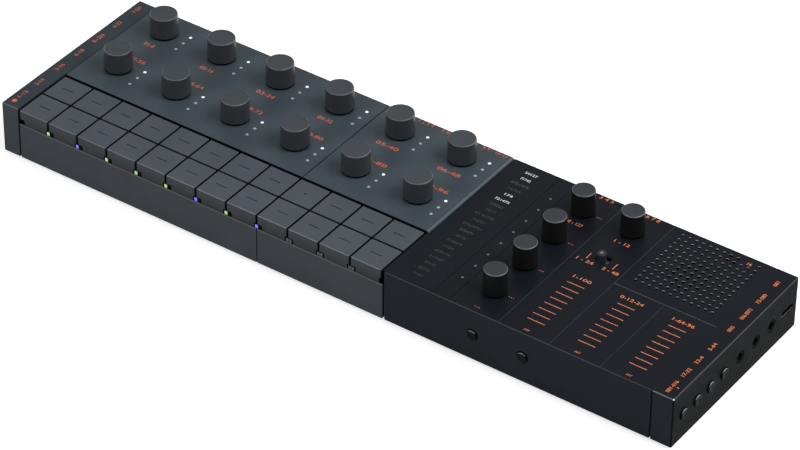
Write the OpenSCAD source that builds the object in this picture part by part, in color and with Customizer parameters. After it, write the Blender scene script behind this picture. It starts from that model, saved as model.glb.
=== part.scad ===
// Mobile drum machine: a wide, low desktop box with two grey sections of keys and knobs, a black
// sound section, two end caps, and what they hold inside. Millimetres, +Z up. The origin lies on
// the surface that the feet stand on, under the middle of the body.

/* [Body] */
// Depth of the body, front to back
body_d = 97; // [95.5:0.5:103]
// Height of the grey panels above the underside of the body
grey_h = 25.4; // [24.8:0.1:28]
// How far the black panel lies below the grey ones
black_step = 0.4; // [0:0.1:0.8]
// Thickness of the outer walls
wall = 2; // [1.6:0.1:2.2]
// Thickness of the top panels
panel_t = 2; // [1.6:0.1:2.4]
// Radius of the outer edges
edge_r = 0.6; // [0.3:0.1:1]
// Gap between one case section and the next
seam = 0.4; // [0.3:0.05:0.8]
// Thickness of the base plate
base_t = 1.6; // [1.5:0.1:2.2]
// Gap between the base plate and the walls around it
base_gap = 0.2; // [0.1:0.05:0.4]
// Gap between fixed pieces that must not touch
part_gap = 0.2; // [0.1:0.05:0.25]
// How far the lip under a joint reaches below the next section
lip_reach = 1; // [0.6:0.1:1.2]
// Thickness of that lip
lip_t = 1; // [0.8:0.1:1.4]

/* [Sections] */
// Width of the left end cap
left_cap_w = 9.2; // [9.1:0.1:12]
// Width of the strip of the synth case beyond its last key
synth_edge_w = 1; // [0.8:0.1:2]
// Width of the black sound and effects section
effects_w = 129.4; // [129:0.2:140]
// Width of the right end cap
right_cap_w = 10.2; // [9.8:0.1:13]

/* [Keys] */
// Distance from one key to the next, left to right
key_pitch = 16; // [15.6:0.1:17]
// Gap between two keys of a row
key_gap = 0.6; // [0.5:0.05:0.8]
// Depth of a key, front to back
key_d = 15.5; // [15:0.1:16.5]
// Gap between the two rows of keys
key_row_gap = 0.6; // [0.5:0.05:0.8]
// Gap between the back row of keys and the panel
key_panel_gap = 1; // [0.6:0.1:1.5]
// Height of a key cap, from its lower edge to its top
key_h = 6.8; // [6.4:0.1:7]
// How far the key tops lie below the grey panels
key_drop = 0.2; // [0:0.1:0.4]
// Wall thickness of a key cap
key_wall = 1.2; // [1:0.1:1.4]
// Thickness of the top of a key cap
key_top_t = 1.8; // [1.4:0.1:2.2]
// Radius of the edges round the top of a key
key_edge_r = 0.4; // [0.2:0.1:0.6]
// Width of the square stem under a key
key_stem_w = 5; // [4:0.2:6]
// Gap round a key stem in its guide hole
stem_gap = 0.15; // [0.1:0.05:0.25]
// How far a key goes down
key_travel = 0.4; // [0.2:0.05:0.4]
// Spare room left above the front wall when a key is right down
key_spare = 0.1; // [0.05:0.05:0.2]
// Thickness of the deck that guides the keys
deck_t = 1.4; // [1.2:0.1:1.6]

/* [Key lamps] */
// Width of the clear lamp lens between two front keys
lamp_w = 2; // [1.6:0.1:2.2]
// Height of a lamp lens
lamp_h = 2.1; // [1.6:0.1:2.1]
// How far a lens lies behind the front of the keys
lamp_inset = 0.4; // [0.3:0.1:0.8]
// Depth of a lens and its light pipe, front to back
lamp_d = 3.4; // [3:0.1:3.6]
// Thickness of the light pipe below a lens
pipe_t = 1; // [0.8:0.1:1.2]
// Gap between a key and the lens in its corner
lamp_gap = 0.25; // [0.2:0.05:0.4]
// Width of the notch in the lower left corner of a front key
notch_w = 2.6; // [2:0.1:3]

/* [Key mat] */
// Thickness of the silicone sheet
mat_t = 0.8; // [0.6:0.1:1]
// Height of a dome above the sheet
dome_h = 1.15; // [0.8:0.05:1.4]
// Diameter of a dome at its foot
dome_d = 6.6; // [5.6:0.2:6.8]
// Wall thickness of a dome
dome_t = 0.6; // [0.4:0.1:0.8]
// Gap that is left between a dome and the stem of a pressed key
dome_gap = 0.05; // [0.05:0.05:0.2]
// Height of the deck above the lower ends of the stems
stem_end = 0.2; // [0.1:0.1:0.4]

/* [Grey knobs] */
// Distance from a section's first key edge to its first knob
knob_inset = 15.5; // [14:0.1:17]
// Distance of the back row of knobs from the back of the body
knob_back = 14.3; // [14:0.1:16]
// Distance of the front row of knobs from the key well
knob_front = 17.3; // [16.6:0.1:18]
// Diameter of a grey knob at its foot
grey_knob_d = 13.1; // [12.6:0.1:15]
// Diameter of a grey knob at its top
grey_knob_top_d = 12.2; // [11:0.1:12.6]
// Height of a grey knob's top above the panel
grey_knob_h = 11.1; // [9:0.1:13]
// Diameter of a grey knob's shaft
grey_shaft_d = 4; // [3.4:0.1:4.4]

/* [Black knobs] */
// Distance of the last sound knob from the back of the body
sound_back = 14.9; // [13:0.1:17]
// Distance of the first sound knob from the front of the body
sound_front = 16.1; // [15:0.1:17]
// Diameter of a black knob at its foot
black_knob_d = 10.7; // [10.5:0.1:12]
// Diameter of a black knob at its top
black_knob_top_d = 10.1; // [9:0.1:10.4]
// Height of a black knob's top above the panel
black_knob_h = 11.9; // [10:0.1:13]
// Diameter of a black knob's shaft
black_shaft_d = 3; // [2.6:0.1:3.2]

/* [Encoders] */
// Gap between a knob's lower edge and the panel
knob_lift = 0.3; // [0.2:0.05:0.5]
// Depth of the hollow under a knob
knob_hollow = 2; // [1.9:0.1:3]
// Wall of the skirt round that hollow
knob_skirt = 1.2; // [1:0.1:1.3]
// Radius of the edge round a knob's top
knob_edge_r = 0.5; // [0.3:0.1:0.8]
// Radial clearance of a shaft in its bushing
shaft_fit = 0.05; // [0.03:0.01:0.1]
// Wall thickness of a bushing
bushing_t = 1.35; // [1:0.05:1.4]
// Gap round a bushing in the panel
bushing_gap = 0.2; // [0.1:0.05:0.3]
// Height of the nut on a bushing
nut_h = 1; // [0.8:0.1:1.2]
// How far a nut stands out round its bushing
nut_lip = 0.9; // [0.6:0.1:0.9]
// Gap below the end of a shaft
shaft_end_gap = 0.1; // [0.05:0.05:0.3]
// Width of the square body of a grey knob's encoder
grey_encoder_w = 11.5; // [10:0.1:12.5]
// Width of the square body of a black knob's encoder
black_encoder_w = 9; // [8:0.1:10]
// Height of an encoder's body above the board
encoder_h = 6.6; // [5:0.1:7]
// Thickness of the floor inside an encoder, below its shaft
encoder_floor = 1; // [0.6:0.1:1.6]

/* [Lamps beside the knobs] */
// Distance of a row of lamps from its knob, to the right
dot_offset = 11.3; // [10:0.1:12]
// Distance of a row's first lamp from its knob, to the back
dot_back = 4.3; // [3:0.1:5]
// Distance from one lamp to the next
dot_pitch = 5.4; // [4:0.1:6]
// Diameter of a lamp window
dot_d = 1.1; // [0.8:0.1:1.4]
// Depth of a lamp window
dot_depth = 0.3; // [0.2:0.05:0.5]

/* [Black panel] */
// Width of one of the four columns, counted from the right
column_w = 24.4; // [24:0.1:25.5]
// Width of an engraved line
groove_w = 0.25; // [0.2:0.05:0.4]
// Depth of an engraved line
groove_depth = 0.3; // [0.2:0.05:0.5]
// Distance of the line left of the display dots from the left edge
display_line = 23.6; // [20:0.2:26]
// Distance between two grille holes
grille_pitch = 3.35; // [3.1:0.01:3.5]
// Diameter of a grille hole
grille_d = 1.4; // [1:0.1:1.8]
// Depth of the grille's blind dimples
dimple_depth = 0.5; // [0.3:0.1:1]
// Distance of the grille's middle from the back of the body
grille_back = 22.6; // [22:0.1:25]

/* [Mode switch] */
// Diameter of the lever
lever_d = 4.2; // [3.6:0.1:4.6]
// Height of the lever above the panel
lever_h = 2.85; // [2:0.05:4]
// How far the lever moves
lever_travel = 2; // [1.5:0.1:3]
// Gap round the lever in its slot
lever_gap = 0.2; // [0.15:0.05:0.3]
// Width of the flat slide under the panel
slide_w = 7; // [6:0.2:8]
// Thickness of that slide
slide_t = 0.9; // [0.6:0.1:1.2]
// Gap between the slide and the panel
slide_gap = 0.3; // [0.2:0.05:0.4]
// Height of the switch body on the board
switch_h = 5; // [4:0.1:5.5]
// Width of the switch body
mode_switch_w = 10; // [8:0.2:11]
// Depth of the switch body
mode_switch_d = 6; // [5:0.2:8]

/* [Edge buttons] */
// Height of the buttons, sockets and board above the underside
port_z = 12.6; // [12.2:0.1:13]
// Diameter of a button
button_d = 4.8; // [4.2:0.1:5]
// Gap round a button in its hole
button_gap = 0.3; // [0.2:0.05:0.4]
// How far a button stands out
button_proud = 0.8; // [0.6:0.1:1]
// How far a button goes in
button_travel = 0.6; // [0.3:0.1:0.6]
// Gap between a button strip and the wall
strip_gap = 0.4; // [0.3:0.05:0.5]
// Thickness of a button strip
strip_t = 1.2; // [1:0.1:1.4]
// Height of a button strip
strip_h = 3.4; // [2.6:0.1:4]
// Depth of a button's switch, from the board's edge inwards
switch_d = 2.2; // [1.6:0.1:2.3]
// Width of a button's switch
switch_w = 4.4; // [3.6:0.1:5]
// Height of a button's switch
switch_body_h = 3; // [2.6:0.1:3.4]
// Diameter of the plunger of a button's switch
plunger_d = 1.6; // [1.2:0.1:2]
// Distance of the first left button from the front
left_button_y = 8; // [7:0.1:9]
// Distance of the last left button from the back
left_button_back = 6.8; // [6:0.1:8]
// Distance of the first right button from the front
right_button_y = 8.2; // [7.5:0.1:9]
// Distance between two right buttons
right_button_pitch = 10.3; // [10.2:0.1:10.6]
// Distance of the last rear button of the synth section from its right edge
rear_button_x = 9; // [7:0.2:12]
// Distance between two rear buttons
rear_button_pitch = 14; // [12:0.2:14.4]

/* [Sockets] */
// Diameter of a jack's bore
jack_bore_d = 3.6; // [3.6:0.02:3.7]
// Length of a jack's bore
jack_bore_l = 12; // [11:0.2:13]
// Diameter of a jack's collar
jack_collar_d = 5.8; // [5.2:0.1:5.8]
// Gap round a collar in the end cap
jack_gap = 0.15; // [0.1:0.05:0.2]
// How far a jack's collar lies inside the outer face
jack_inset = 0.2; // [0.1:0.05:0.4]
// Width and height of a jack's body
jack_body_w = 6; // [5.9:0.1:6.2]
// Distance between the last jack and the data socket
jack_usb = 12.55; // [12:0.05:12.8]
// Distance between the last right button and the first jack
jack_button = 12.7; // [11:0.1:13]
// Length of a socket's soldered tab
tab_l = 3; // [2:0.1:3.6]
// Thickness of a socket's tabs
tab_t = 0.5; // [0.3:0.1:0.6]
// How far a jack's tab reaches out beside its body
tab_side = 0.6; // [0.4:0.1:0.6]
// Distance of the data socket from the back
usb_back = 8.05; // [7.8:0.05:8.4]
// Width of the data socket's shell
usb_w = 9; // [8.8:0.1:9.2]
// Height of the data socket's shell
usb_h = 3.2; // [3:0.1:3.4]
// Length of the data socket's shell
usb_l = 7.3; // [6.5:0.1:7.6]
// Wall of the data socket's shell
usb_t = 0.35; // [0.3:0.05:0.5]
// Gap round the data socket in the end cap
usb_gap = 0.2; // [0.1:0.05:0.3]
// Thickness of the data socket's back wall, and how far its tongue stays behind its mouth
usb_back_t = 1; // [0.6:0.1:1.4]
// Gap on either side of the data socket's tongue
tongue_side = 1.2; // [1:0.1:1.6]
// Thickness of that tongue
tongue_t = 0.64; // [0.5:0.02:0.8]

/* [Board, battery and speaker] */
// Thickness of the circuit boards
board_t = 1.6; // [1.2:0.1:1.6]
// Gap between the board's long edges and the walls
board_gap = 0.6; // [0.4:0.1:0.8]
// Width of the largest chips on the board
chip_w = 14; // [10:0.5:16]
// Width of the smaller chips
small_chip_w = 10; // [7:0.5:11]
// Height of the chips
chip_h = 1.4; // [0.8:0.1:1.6]
// Length of a lamp beside a knob
led_w = 1.6; // [1:0.1:2]
// Depth of that lamp
led_d = 0.8; // [0.5:0.1:1.2]
// Height of that lamp
led_h = 0.6; // [0.4:0.1:0.8]
// Thickness of the touch sensor board under the black panel
touch_t = 1; // [0.8:0.1:1.2]
// Distance of the touch board from the front and from the cross line
touch_edge = 5; // [4:0.1:6]
// Width of the connector between the touch board and the main board
connector_w = 8; // [6:0.5:10]
// Depth of that connector
connector_d = 3; // [2:0.1:4]
// Width of the battery, left to right
battery_w = 52; // [44:1:58]
// Depth of the battery, front to back
battery_d = 62; // [50:1:64]
// Thickness of the battery
battery_h = 7.5; // [6:0.1:8]
// Gap round the battery in its tray
battery_gap = 0.3; // [0.2:0.1:0.6]
// Height of the tray's rim
tray_h = 3; // [2:0.2:4]
// Diameter of the speaker
speaker_d = 23; // [20:0.2:23.4]
// Height of the speaker
speaker_h = 6; // [5:0.1:6.4]
// Gap round the speaker in its collar
speaker_gap = 0.2; // [0.1:0.05:0.3]
// Wall of the speaker's collar
collar_t = 1.2; // [1:0.1:1.6]
// Width of the speaker's flat rim
speaker_rim = 2; // [1.6:0.1:3]
// Thickness of that rim
speaker_rim_t = 1.2; // [0.8:0.1:1.6]
// Depth of the speaker's cone
cone_depth = 2; // [1.2:0.1:2.4]
// Diameter of the flat middle of the cone
cone_d = 6; // [4:0.2:8]
// Height of the speaker's magnet
magnet_h = 2; // [1.4:0.1:2.4]

/* [Screws and feet] */
// Diameter of a boss round a screw
boss_d = 4.4; // [4:0.1:4.4]
// Diameter of a screw's shank
screw_d = 1.9; // [1.6:0.1:2]
// Radial gap of a shank in its pilot hole
pilot_gap = 0.05; // [0.03:0.01:0.1]
// Radial gap of a shank in the base and the board
screw_gap = 0.25; // [0.2:0.05:0.3]
// Diameter of a screw's head
screw_head_d = 3.4; // [3:0.1:3.4]
// Height of a screw's head
screw_head_h = 1.1; // [0.8:0.1:1.2]
// How far a screw's head lies inside the base
screw_sink = 0.2; // [0.1:0.1:0.3]
// How far a screw goes into its boss
screw_grip = 3.2; // [2.6:0.1:3.4]
// Diameter of a rubber foot
foot_d = 10; // [8:0.5:11]
// How far the feet stand out below the body
foot_h = 1.1; // [0.8:0.1:2]
// Depth of a foot's pocket in the base
foot_pocket = 0.5; // [0.3:0.1:0.8]
// Gap round a foot in its pocket
foot_gap = 0.1; // [0.05:0.05:0.2]
// Distance of the feet from the ends of the body
foot_x = 18; // [16:0.5:18]
// Distance of the feet from the front and the back
foot_y = 10; // [8:0.5:10]

/* [Hidden] */
$fn = 48;
drum_columns = 8;
synth_columns = 4;
left_buttons = 7;
right_buttons = 4;
jack_count = 3;
sound_knobs = 4;
dots_per_knob = 3;
knobs_per_row = 4;
grille_count = 12;
cut = 1;
x_keys = left_cap_w + seam;
x_synth = x_keys + drum_columns * key_pitch;
x_synth_end = x_synth + synth_columns * key_pitch + synth_edge_w;
x_effects = x_synth_end + seam;
x_effects_end = x_effects + effects_w;
body_l = x_effects_end + seam + right_cap_w;
black_h = grey_h - black_step;
well_d = 2 * key_d + key_row_gap + key_panel_gap;
key_w = key_pitch - key_gap;
key_top = grey_h - key_drop;
key_z = key_top - key_h;
front_wall_h = key_z - key_travel - key_spare;
board_z = port_z - board_t / 2;
board_top = port_z + board_t / 2;
mat_top = board_top + mat_t;
dome_top = mat_top + dome_h;
stem_z = dome_top + key_travel + dome_gap;
deck_z = stem_z + stem_end;
grey_under = grey_h - panel_t;
black_under = black_h - panel_t;
row_split = key_d + key_row_gap / 2;
knob_pitch = 2 * key_pitch;
knob_rows = [well_d + knob_front, body_d - knob_back];
knob_mid_y = (knob_rows[0] + knob_rows[1]) / 2;
strip_in = wall + strip_gap + strip_t;
board_inset = strip_in + button_travel + 2 * part_gap;
cap_boss_x = board_inset + boss_d / 2;
left_button_pitch = (body_d - left_button_back - left_button_y) / (left_buttons - 1);
left_button_ys = [for (i = [0 : left_buttons - 1]) left_button_y + i * left_button_pitch];
right_button_ys = [for (i = [0 : right_buttons - 1]) right_button_y + i * right_button_pitch];
usb_y = body_d - usb_back;
first_jack_y = right_button_ys[right_buttons - 1] + jack_button;
jack_pitch = (usb_y - jack_usb - first_jack_y) / (jack_count - 1);
jack_ys = [for (i = [0 : jack_count - 1]) first_jack_y + i * jack_pitch];
jack_end = jack_inset + jack_bore_l + 1;
usb_end = jack_inset + usb_l;
sound_pitch = (body_d - sound_back - sound_front) / (sound_knobs - 1);
sound_ys = [for (i = [0 : sound_knobs - 1]) sound_front + i * sound_pitch];
sound_x = column_x(3.5);
effects_x = column_x(2.5);
switch_y = sound_ys[2];
split_y = (sound_ys[1] + sound_ys[2]) / 2;
grille_x = column_x(1);
grille_y = body_d - grille_back;
speaker_x = grille_x - grille_pitch / 2;
speaker_y = grille_y - grille_pitch;
battery_x = knob_x(x_keys, 1) + key_pitch - battery_w / 2;
battery_y = body_d / 2 - battery_d / 2;
front_button_xs = [sound_x, effects_x];
synth_rear_xs = [for (i = [3 : -1 : 0]) x_synth_end - rear_button_x - i * rear_button_pitch];
rear_button_xs = concat(synth_rear_xs, [sound_x + 3, effects_x + 3, column_x(1.4)]);

drum_back_names = [for (i = [1 : drum_columns]) str("drum_key_back_", i)];
drum_front_names = [for (i = [1 : drum_columns]) str("drum_key_front_", i)];
synth_back_names = [for (i = [1 : synth_columns]) str("synth_key_back_", i)];
synth_front_names = [for (i = [1 : synth_columns]) str("synth_key_front_", i)];
drum_knob_names = [for (i = [1 : 2 * knobs_per_row]) str("drum_knob_", i)];
synth_knob_names = [for (i = [1 : knobs_per_row]) str("synth_knob_", i)];
sound_knob_names = [for (i = [1 : sound_knobs]) str("sound_knob_", i)];

// ---- Places that several pieces share ----

// X of a line or a middle in the black panel, counted in columns from its right end
function column_x(columns) = x_effects_end - columns * column_w;
// X of the left edge of a key: column 0 is the section's first
function key_x(section_x, column) = section_x + column * key_pitch + key_gap / 2;
// Y of the front edge of a key: row 0 is the front one
function key_y(row) = row * (key_d + key_row_gap);
// X of the middle of a grey knob in its section
function knob_x(section_x, column) = section_x + knob_inset + column * knob_pitch;
// The drum section has four grey knobs in a row and the synth section two
drum_knob_spots = [for (row = [0, 1], i = [0 : 3]) [knob_x(x_keys, i), knob_rows[row]]];
synth_knob_spots = [for (row = [0, 1], i = [0, 1]) [knob_x(x_synth, i), knob_rows[row]]];
sound_knob_spots = [for (y = sound_ys) [sound_x, y]];
effects_knob_spot = [effects_x, sound_ys[sound_knobs - 1]];
// Lamps stand at every key boundary but the first and the last
drum_lamp_xs = [for (i = [1 : drum_columns]) x_keys + i * key_pitch];
synth_lamp_xs = [for (i = [1 : synth_columns - 1]) x_synth + i * key_pitch];
// Each screw clamps base, board and case at [x, y]
deck_screws_drum = [for (i = [1, drum_columns - 1]) [x_keys + i * key_pitch, row_split]];
panel_screws_drum = [for (i = [0, 2]) [knob_x(x_keys, i) + key_pitch, knob_mid_y]];
deck_screws_synth = [[x_synth + 2 * key_pitch, row_split]];
panel_screws_synth = [[knob_x(x_synth, 0) + key_pitch, knob_mid_y]];
panel_screws_effects = [
    [x_effects + display_line / 2, sound_ys[0] - boss_d], [x_effects + display_line / 2, sound_ys[3]],
    [column_x(1), (sound_ys[0] + sound_ys[1]) / 2], [column_x(0.5), split_y - 2 * boss_d]
];
left_cap_screws = [for (i = [0.5, 5.5]) [cap_boss_x, left_button_y + i * left_button_pitch]];
right_cap_screws = [
    [body_l - cap_boss_x, right_button_y + right_button_pitch / 2],
    [body_l - cap_boss_x, (jack_ys[2] + jack_body_w / 2 + usb_y - usb_w / 2) / 2]
];
screw_spots = concat(left_cap_screws, deck_screws_drum, panel_screws_drum, deck_screws_synth,
    panel_screws_synth, panel_screws_effects, right_cap_screws);

// ---- Shapes that several pieces share ----

// Everything is drawn from the front left lower corner of the body, and moved to the origin here
module placed() translate([-body_l / 2, -body_d / 2, foot_h]) children();

// A flat outline in Y and Z, extruded along X
module along_x(x0, x1) translate([x0, 0, 0]) rotate([90, 0, 90]) linear_extrude(x1 - x0) children();

// A rectangle with its two upper corners rounded
module round_top(w, h, r) {
    square([w, h - r]);
    translate([r, 0]) square([w - 2 * r, h]);
    for (x = [r, w - r]) translate([x, h - r]) circle(r);
}

// A block with the edges round its top rounded
module round_block(w, d, h, r) {
    intersection() {
        along_x(0, w) round_top(d, h, r);
        translate([0, d, 0]) rotate([90, 0, 0]) linear_extrude(d) round_top(w, h, r);
    }
}

// A section of case: front wall, panel and back wall, open below and at its ends
module channel(x0, x1, h) {
    along_x(x0, x1) difference() {
        round_top(body_d, h, edge_r);
        translate([wall, -cut]) square([body_d - 2 * wall, h - panel_t + cut]);
    }
}

// An end cap, drawn with its outer face at X 0
module end_shell(w, h) {
    difference() {
        intersection() {
            along_x(0, w) round_top(body_d, h, edge_r);
            translate([0, body_d, 0]) rotate([90, 0, 0]) linear_extrude(body_d)
                intersection() {
                    round_top(2 * w, h, edge_r);
                    square([w, h]);
                }
            linear_extrude(h) intersection() {
                translate([2 * w, 0]) rotate(90) round_top(body_d, 2 * w, edge_r);
                square([w, body_d]);
            }
        }
        translate([wall, wall, -cut])
            cube([w, body_d - 2 * wall, h - panel_t + cut]);
    }
}

// A side wall that closes a section beside the key well, above the board
module well_wall(x, h) {
    z = board_top + part_gap;
    translate([x, wall, z]) cube([wall, well_d + wall, h - panel_t - z]);
}

// A lip under the panel on one side of a joint, which closes the gap from below
module lip(x, under) {
    y = well_d + wall + part_gap;
    translate([x - lip_reach, y, under - lip_t])
        cube([seam + 2 * lip_reach, body_d - wall - part_gap - y, lip_t]);
}

// Bosses that stand on the board and reach up to a deck or a panel
module bosses(spots, top) {
    for (s = spots) translate([s[0], s[1], board_top]) cylinder(d = boss_d, h = top - board_top);
}

// Pilot holes for the screws in those bosses
module pilot_holes(spots) {
    for (s = spots) translate([s[0], s[1], board_top - cut])
        cylinder(d = screw_d + 2 * pilot_gap, h = cut + screw_grip + pilot_gap, $fn = 24);
}

// Copies its children to the left end, the right end, the front or the back of the body. They are
// drawn with the outer face at X 0, the outside towards -X and places along the edge as Y.
module at_left() children();
module at_right() translate([body_l, 0, 0]) mirror([1, 0, 0]) children();
module at_front() rotate([0, 0, 90]) mirror([0, 1, 0]) children();
module at_rear() translate([0, body_d, 0]) mirror([0, 1, 0]) at_front() children();

// Round holes through an outer wall
module wall_holes(places, d) {
    for (y = places) translate([-cut, y, port_z]) rotate([0, 90, 0]) cylinder(d = d, h = wall + 2 * cut);
}

module button_holes(places) wall_holes(places, button_d + 2 * button_gap);

// A row of buttons on one moulded strip behind the wall
module button_strip(places) {
    first = min(places) - button_d / 2;
    last = max(places) + button_d / 2;
    for (y = places) translate([-button_proud, y, port_z]) rotate([0, 90, 0])
        cylinder(d = button_d, h = button_proud + strip_in);
    translate([wall + strip_gap, first, port_z - strip_h / 2]) cube([strip_t, last - first, strip_h]);
}

// A notch in the board's edge behind a strip along a wall
module strip_notch(places) {
    first = min(places) - button_d;
    last = max(places) + button_d;
    translate([-cut, first, board_z - cut]) cube([board_inset + cut, last - first, board_t + 2 * cut]);
}

// Small switches at the board's edge, one behind each button
module edge_switches(places) {
    body = [switch_d, switch_w, switch_body_h];
    plunger = strip_in + button_travel + part_gap;
    for (y = places) {
        translate([board_inset + part_gap, y - body[1] / 2, port_z - body[2] / 2]) cube(body);
        translate([plunger, y, port_z]) rotate([0, 90, 0]) cylinder(d = plunger_d, h = switch_d, $fn = 24);
    }
}

// ---- Cases ----

// Holes for encoder bushings, with the windows of the lamps beside them
module knob_holes(spots, shaft_d, h) {
    for (s = spots) translate([s[0], s[1], h - panel_t - cut])
        cylinder(d = bushing_d(shaft_d) + 2 * bushing_gap, h = panel_t + 2 * cut);
}

module dot_windows(spots) {
    for (s = spots, i = [0 : dots_per_knob - 1])
        translate([s[0] + dot_offset, s[1] + dot_back - i * dot_pitch, grey_h - dot_depth])
            cylinder(d = dot_d, h = dot_depth + cut, $fn = 24);
}

// A grey section: a channel with a well for two rows of keys and a deck that guides their stems
module grey_case(x0, x1, section_x, columns, deck_screws, panel_screws, knobs, lamps) {
    difference() {
        union() {
            difference() {
                channel(x0, x1, grey_h);
                translate([x0 - cut, -cut, front_wall_h]) cube([x1 - x0 + 2 * cut, well_d + cut, grey_h]);
            }
            translate([x0, wall, deck_z]) cube([x1 - x0, well_d, deck_t]);
            translate([x0, well_d, deck_z]) cube([x1 - x0, wall, grey_under - deck_z]);
            bosses(deck_screws, deck_z);
            bosses(panel_screws, grey_under);
        }
        for (column = [0 : columns - 1], row = [0, 1])
            translate([key_x(section_x, column) + key_w / 2, key_y(row) + key_d / 2, deck_z + deck_t / 2])
                cube([key_stem_w + 2 * stem_gap, key_stem_w + 2 * stem_gap, deck_t + 2 * cut], center = true);
        for (x = lamps) translate([x - lamp_w / 2 - lamp_gap, wall, deck_z - cut])
            cube([lamp_w + 2 * lamp_gap, lamp_inset + lamp_d + lamp_gap - wall, deck_t + 2 * cut]);
        knob_holes(knobs, grey_shaft_d, grey_h);
        dot_windows(knobs);
        pilot_holes(concat(deck_screws, panel_screws));
    }
}

module left_end_cap() color("#3d444b") placed() difference() {
    union() {
        end_shell(left_cap_w, grey_h);
        well_wall(left_cap_w - wall, grey_h);
        lip(left_cap_w, grey_under);
        bosses(left_cap_screws, grey_under);
    }
    at_left() button_holes(left_button_ys);
    pilot_holes(left_cap_screws);
}

module drum_case() color("#414a50") placed()
    grey_case(x_keys, x_synth - seam / 2, x_keys, drum_columns, deck_screws_drum, panel_screws_drum,
        drum_knob_spots, drum_lamp_xs);

module synth_case() color("#434b52") placed() difference() {
    union() {
        lip(x_synth - seam / 2, grey_under);
        grey_case(x_synth + seam / 2, x_synth_end, x_synth, synth_columns, deck_screws_synth,
            panel_screws_synth, synth_knob_spots, concat([x_synth], synth_lamp_xs));
    }
    at_rear() button_holes(synth_rear_xs);
    translate([x_synth_end - synth_edge_w - groove_w, well_d - cut, grey_h - groove_depth])
        cube([groove_w, body_d, groove_depth + cut]);
}

function is_speaker_hole(i, j) = norm([i - 5, j - 4.5]) < 2.8;
function is_mic_hole(i, j) = (i == 7 || i == 8) && j >= 10;
function is_left_out(i, j) = (i == 9 || i == 10) && j == 11;

// The square grille: through holes over the speaker and the microphone, blind dimples elsewhere
module grille_cuts() {
    first = -(grille_count - 1) / 2;
    for (i = [0 : grille_count - 1], j = [0 : grille_count - 1]) {
        depth = is_speaker_hole(i, j) || is_mic_hole(i, j) ? panel_t + cut : dimple_depth;
        at = [grille_x, grille_y] + [first + i, first + j] * grille_pitch;
        if (!is_left_out(i, j)) translate([at[0], at[1], black_h - depth])
            cylinder(d = grille_d, h = depth + cut, $fn = 16);
    }
}

// Engraved lines of the black panel
module panel_lines() {
    z = black_h - groove_depth;
    full = [x_effects + display_line, column_x(4), column_x(3), column_x(2)];
    for (x = full) translate([x - groove_w / 2, -cut, z]) cube([groove_w, body_d + 2 * cut, cut]);
    translate([column_x(1) - groove_w / 2, -cut, z]) cube([groove_w, split_y + cut, cut]);
    translate([column_x(2), split_y - groove_w / 2, z]) cube([column_x(0) - column_x(2) + cut, groove_w, cut]);
}

module effects_case() color("#1f2228") placed() difference() {
    union() {
        channel(x_effects, x_effects_end, black_h);
        well_wall(x_effects, black_h);
        lip(x_synth_end, black_under);
        bosses(panel_screws_effects, black_under);
        translate([speaker_x, speaker_y, black_under - speaker_h / 2])
            cylinder(d = speaker_d + 2 * (speaker_gap + collar_t), h = speaker_h / 2);
    }
    translate([speaker_x, speaker_y, black_under - speaker_h])
        cylinder(d = speaker_d + 2 * speaker_gap, h = speaker_h);
    knob_holes(concat(sound_knob_spots, [effects_knob_spot]), black_shaft_d, black_h);
    translate([effects_x, switch_y, black_under - cut]) lever_slot(panel_t + 2 * cut);
    grille_cuts();
    panel_lines();
    at_front() button_holes(front_button_xs);
    at_rear() button_holes([for (x = rear_button_xs) if (x > x_effects) x]);
    pilot_holes(panel_screws_effects);
}

module lever_slot(h) {
    w = lever_d + 2 * lever_gap;
    l = w + lever_travel;
    translate([-l / 2, -w / 2, 0]) cube([l, w, h]);
}

module right_end_cap() color("#26282a") placed() difference() {
    union() {
        at_right() end_shell(right_cap_w, black_h);
        lip(x_effects_end, black_under);
        bosses(right_cap_screws, black_under);
    }
    at_right() button_holes(right_button_ys);
    at_right() wall_holes(jack_ys, jack_collar_d + 2 * jack_gap);
    at_right() translate([-cut, usb_y, port_z])
        flat_tube(usb_w + 2 * usb_gap, usb_h + 2 * usb_gap, wall + 2 * cut);
    pilot_holes(right_cap_screws);
}

// A bar with round short sides, along X from X 0
module flat_tube(w, h, l) {
    translate([0, -(w - h) / 2, -h / 2]) cube([l, w - h, h]);
    for (y = [-(w - h) / 2, (w - h) / 2]) translate([0, y, 0]) rotate([0, 90, 0]) cylinder(d = h, h = l);
}

// ---- Base ----

module base_plate() color("#2a2d30") placed() difference() {
    edge = wall + base_gap;
    union() {
        translate([edge, edge, 0]) cube([body_l - 2 * edge, body_d - 2 * edge, base_t]);
        for (s = screw_spots) translate([s[0], s[1], 0]) cylinder(d = boss_d, h = board_z);
        translate([battery_x - battery_gap - collar_t, battery_y - battery_gap - collar_t, base_t])
            difference() {
                rim = 2 * (battery_gap + collar_t);
                cube([battery_w + rim, battery_d + rim, tray_h]);
                translate([collar_t, collar_t, -cut])
                    cube([battery_w + 2 * battery_gap, battery_d + 2 * battery_gap, tray_h + 2 * cut]);
            }
    }
    for (s = screw_spots) translate([s[0], s[1], 0]) {
        translate([0, 0, -cut]) cylinder(d = screw_d + 2 * screw_gap, h = board_z + 2 * cut, $fn = 24);
        translate([0, 0, -cut])
            cylinder(d = screw_head_d + screw_gap, h = cut + screw_sink + screw_head_h, $fn = 32);
    }
    foot_places() translate([0, 0, -cut]) cylinder(d = foot_d + 2 * foot_gap, h = cut + foot_pocket);
}

module foot_places() {
    for (x = [foot_x, body_l - foot_x], y = [foot_y, body_d - foot_y]) translate([x, y, 0]) children();
}

module rubber_feet() color("#1a1a1a") placed() foot_places()
    translate([0, 0, -foot_h]) cylinder(d = foot_d, h = foot_h + foot_pocket);

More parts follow.
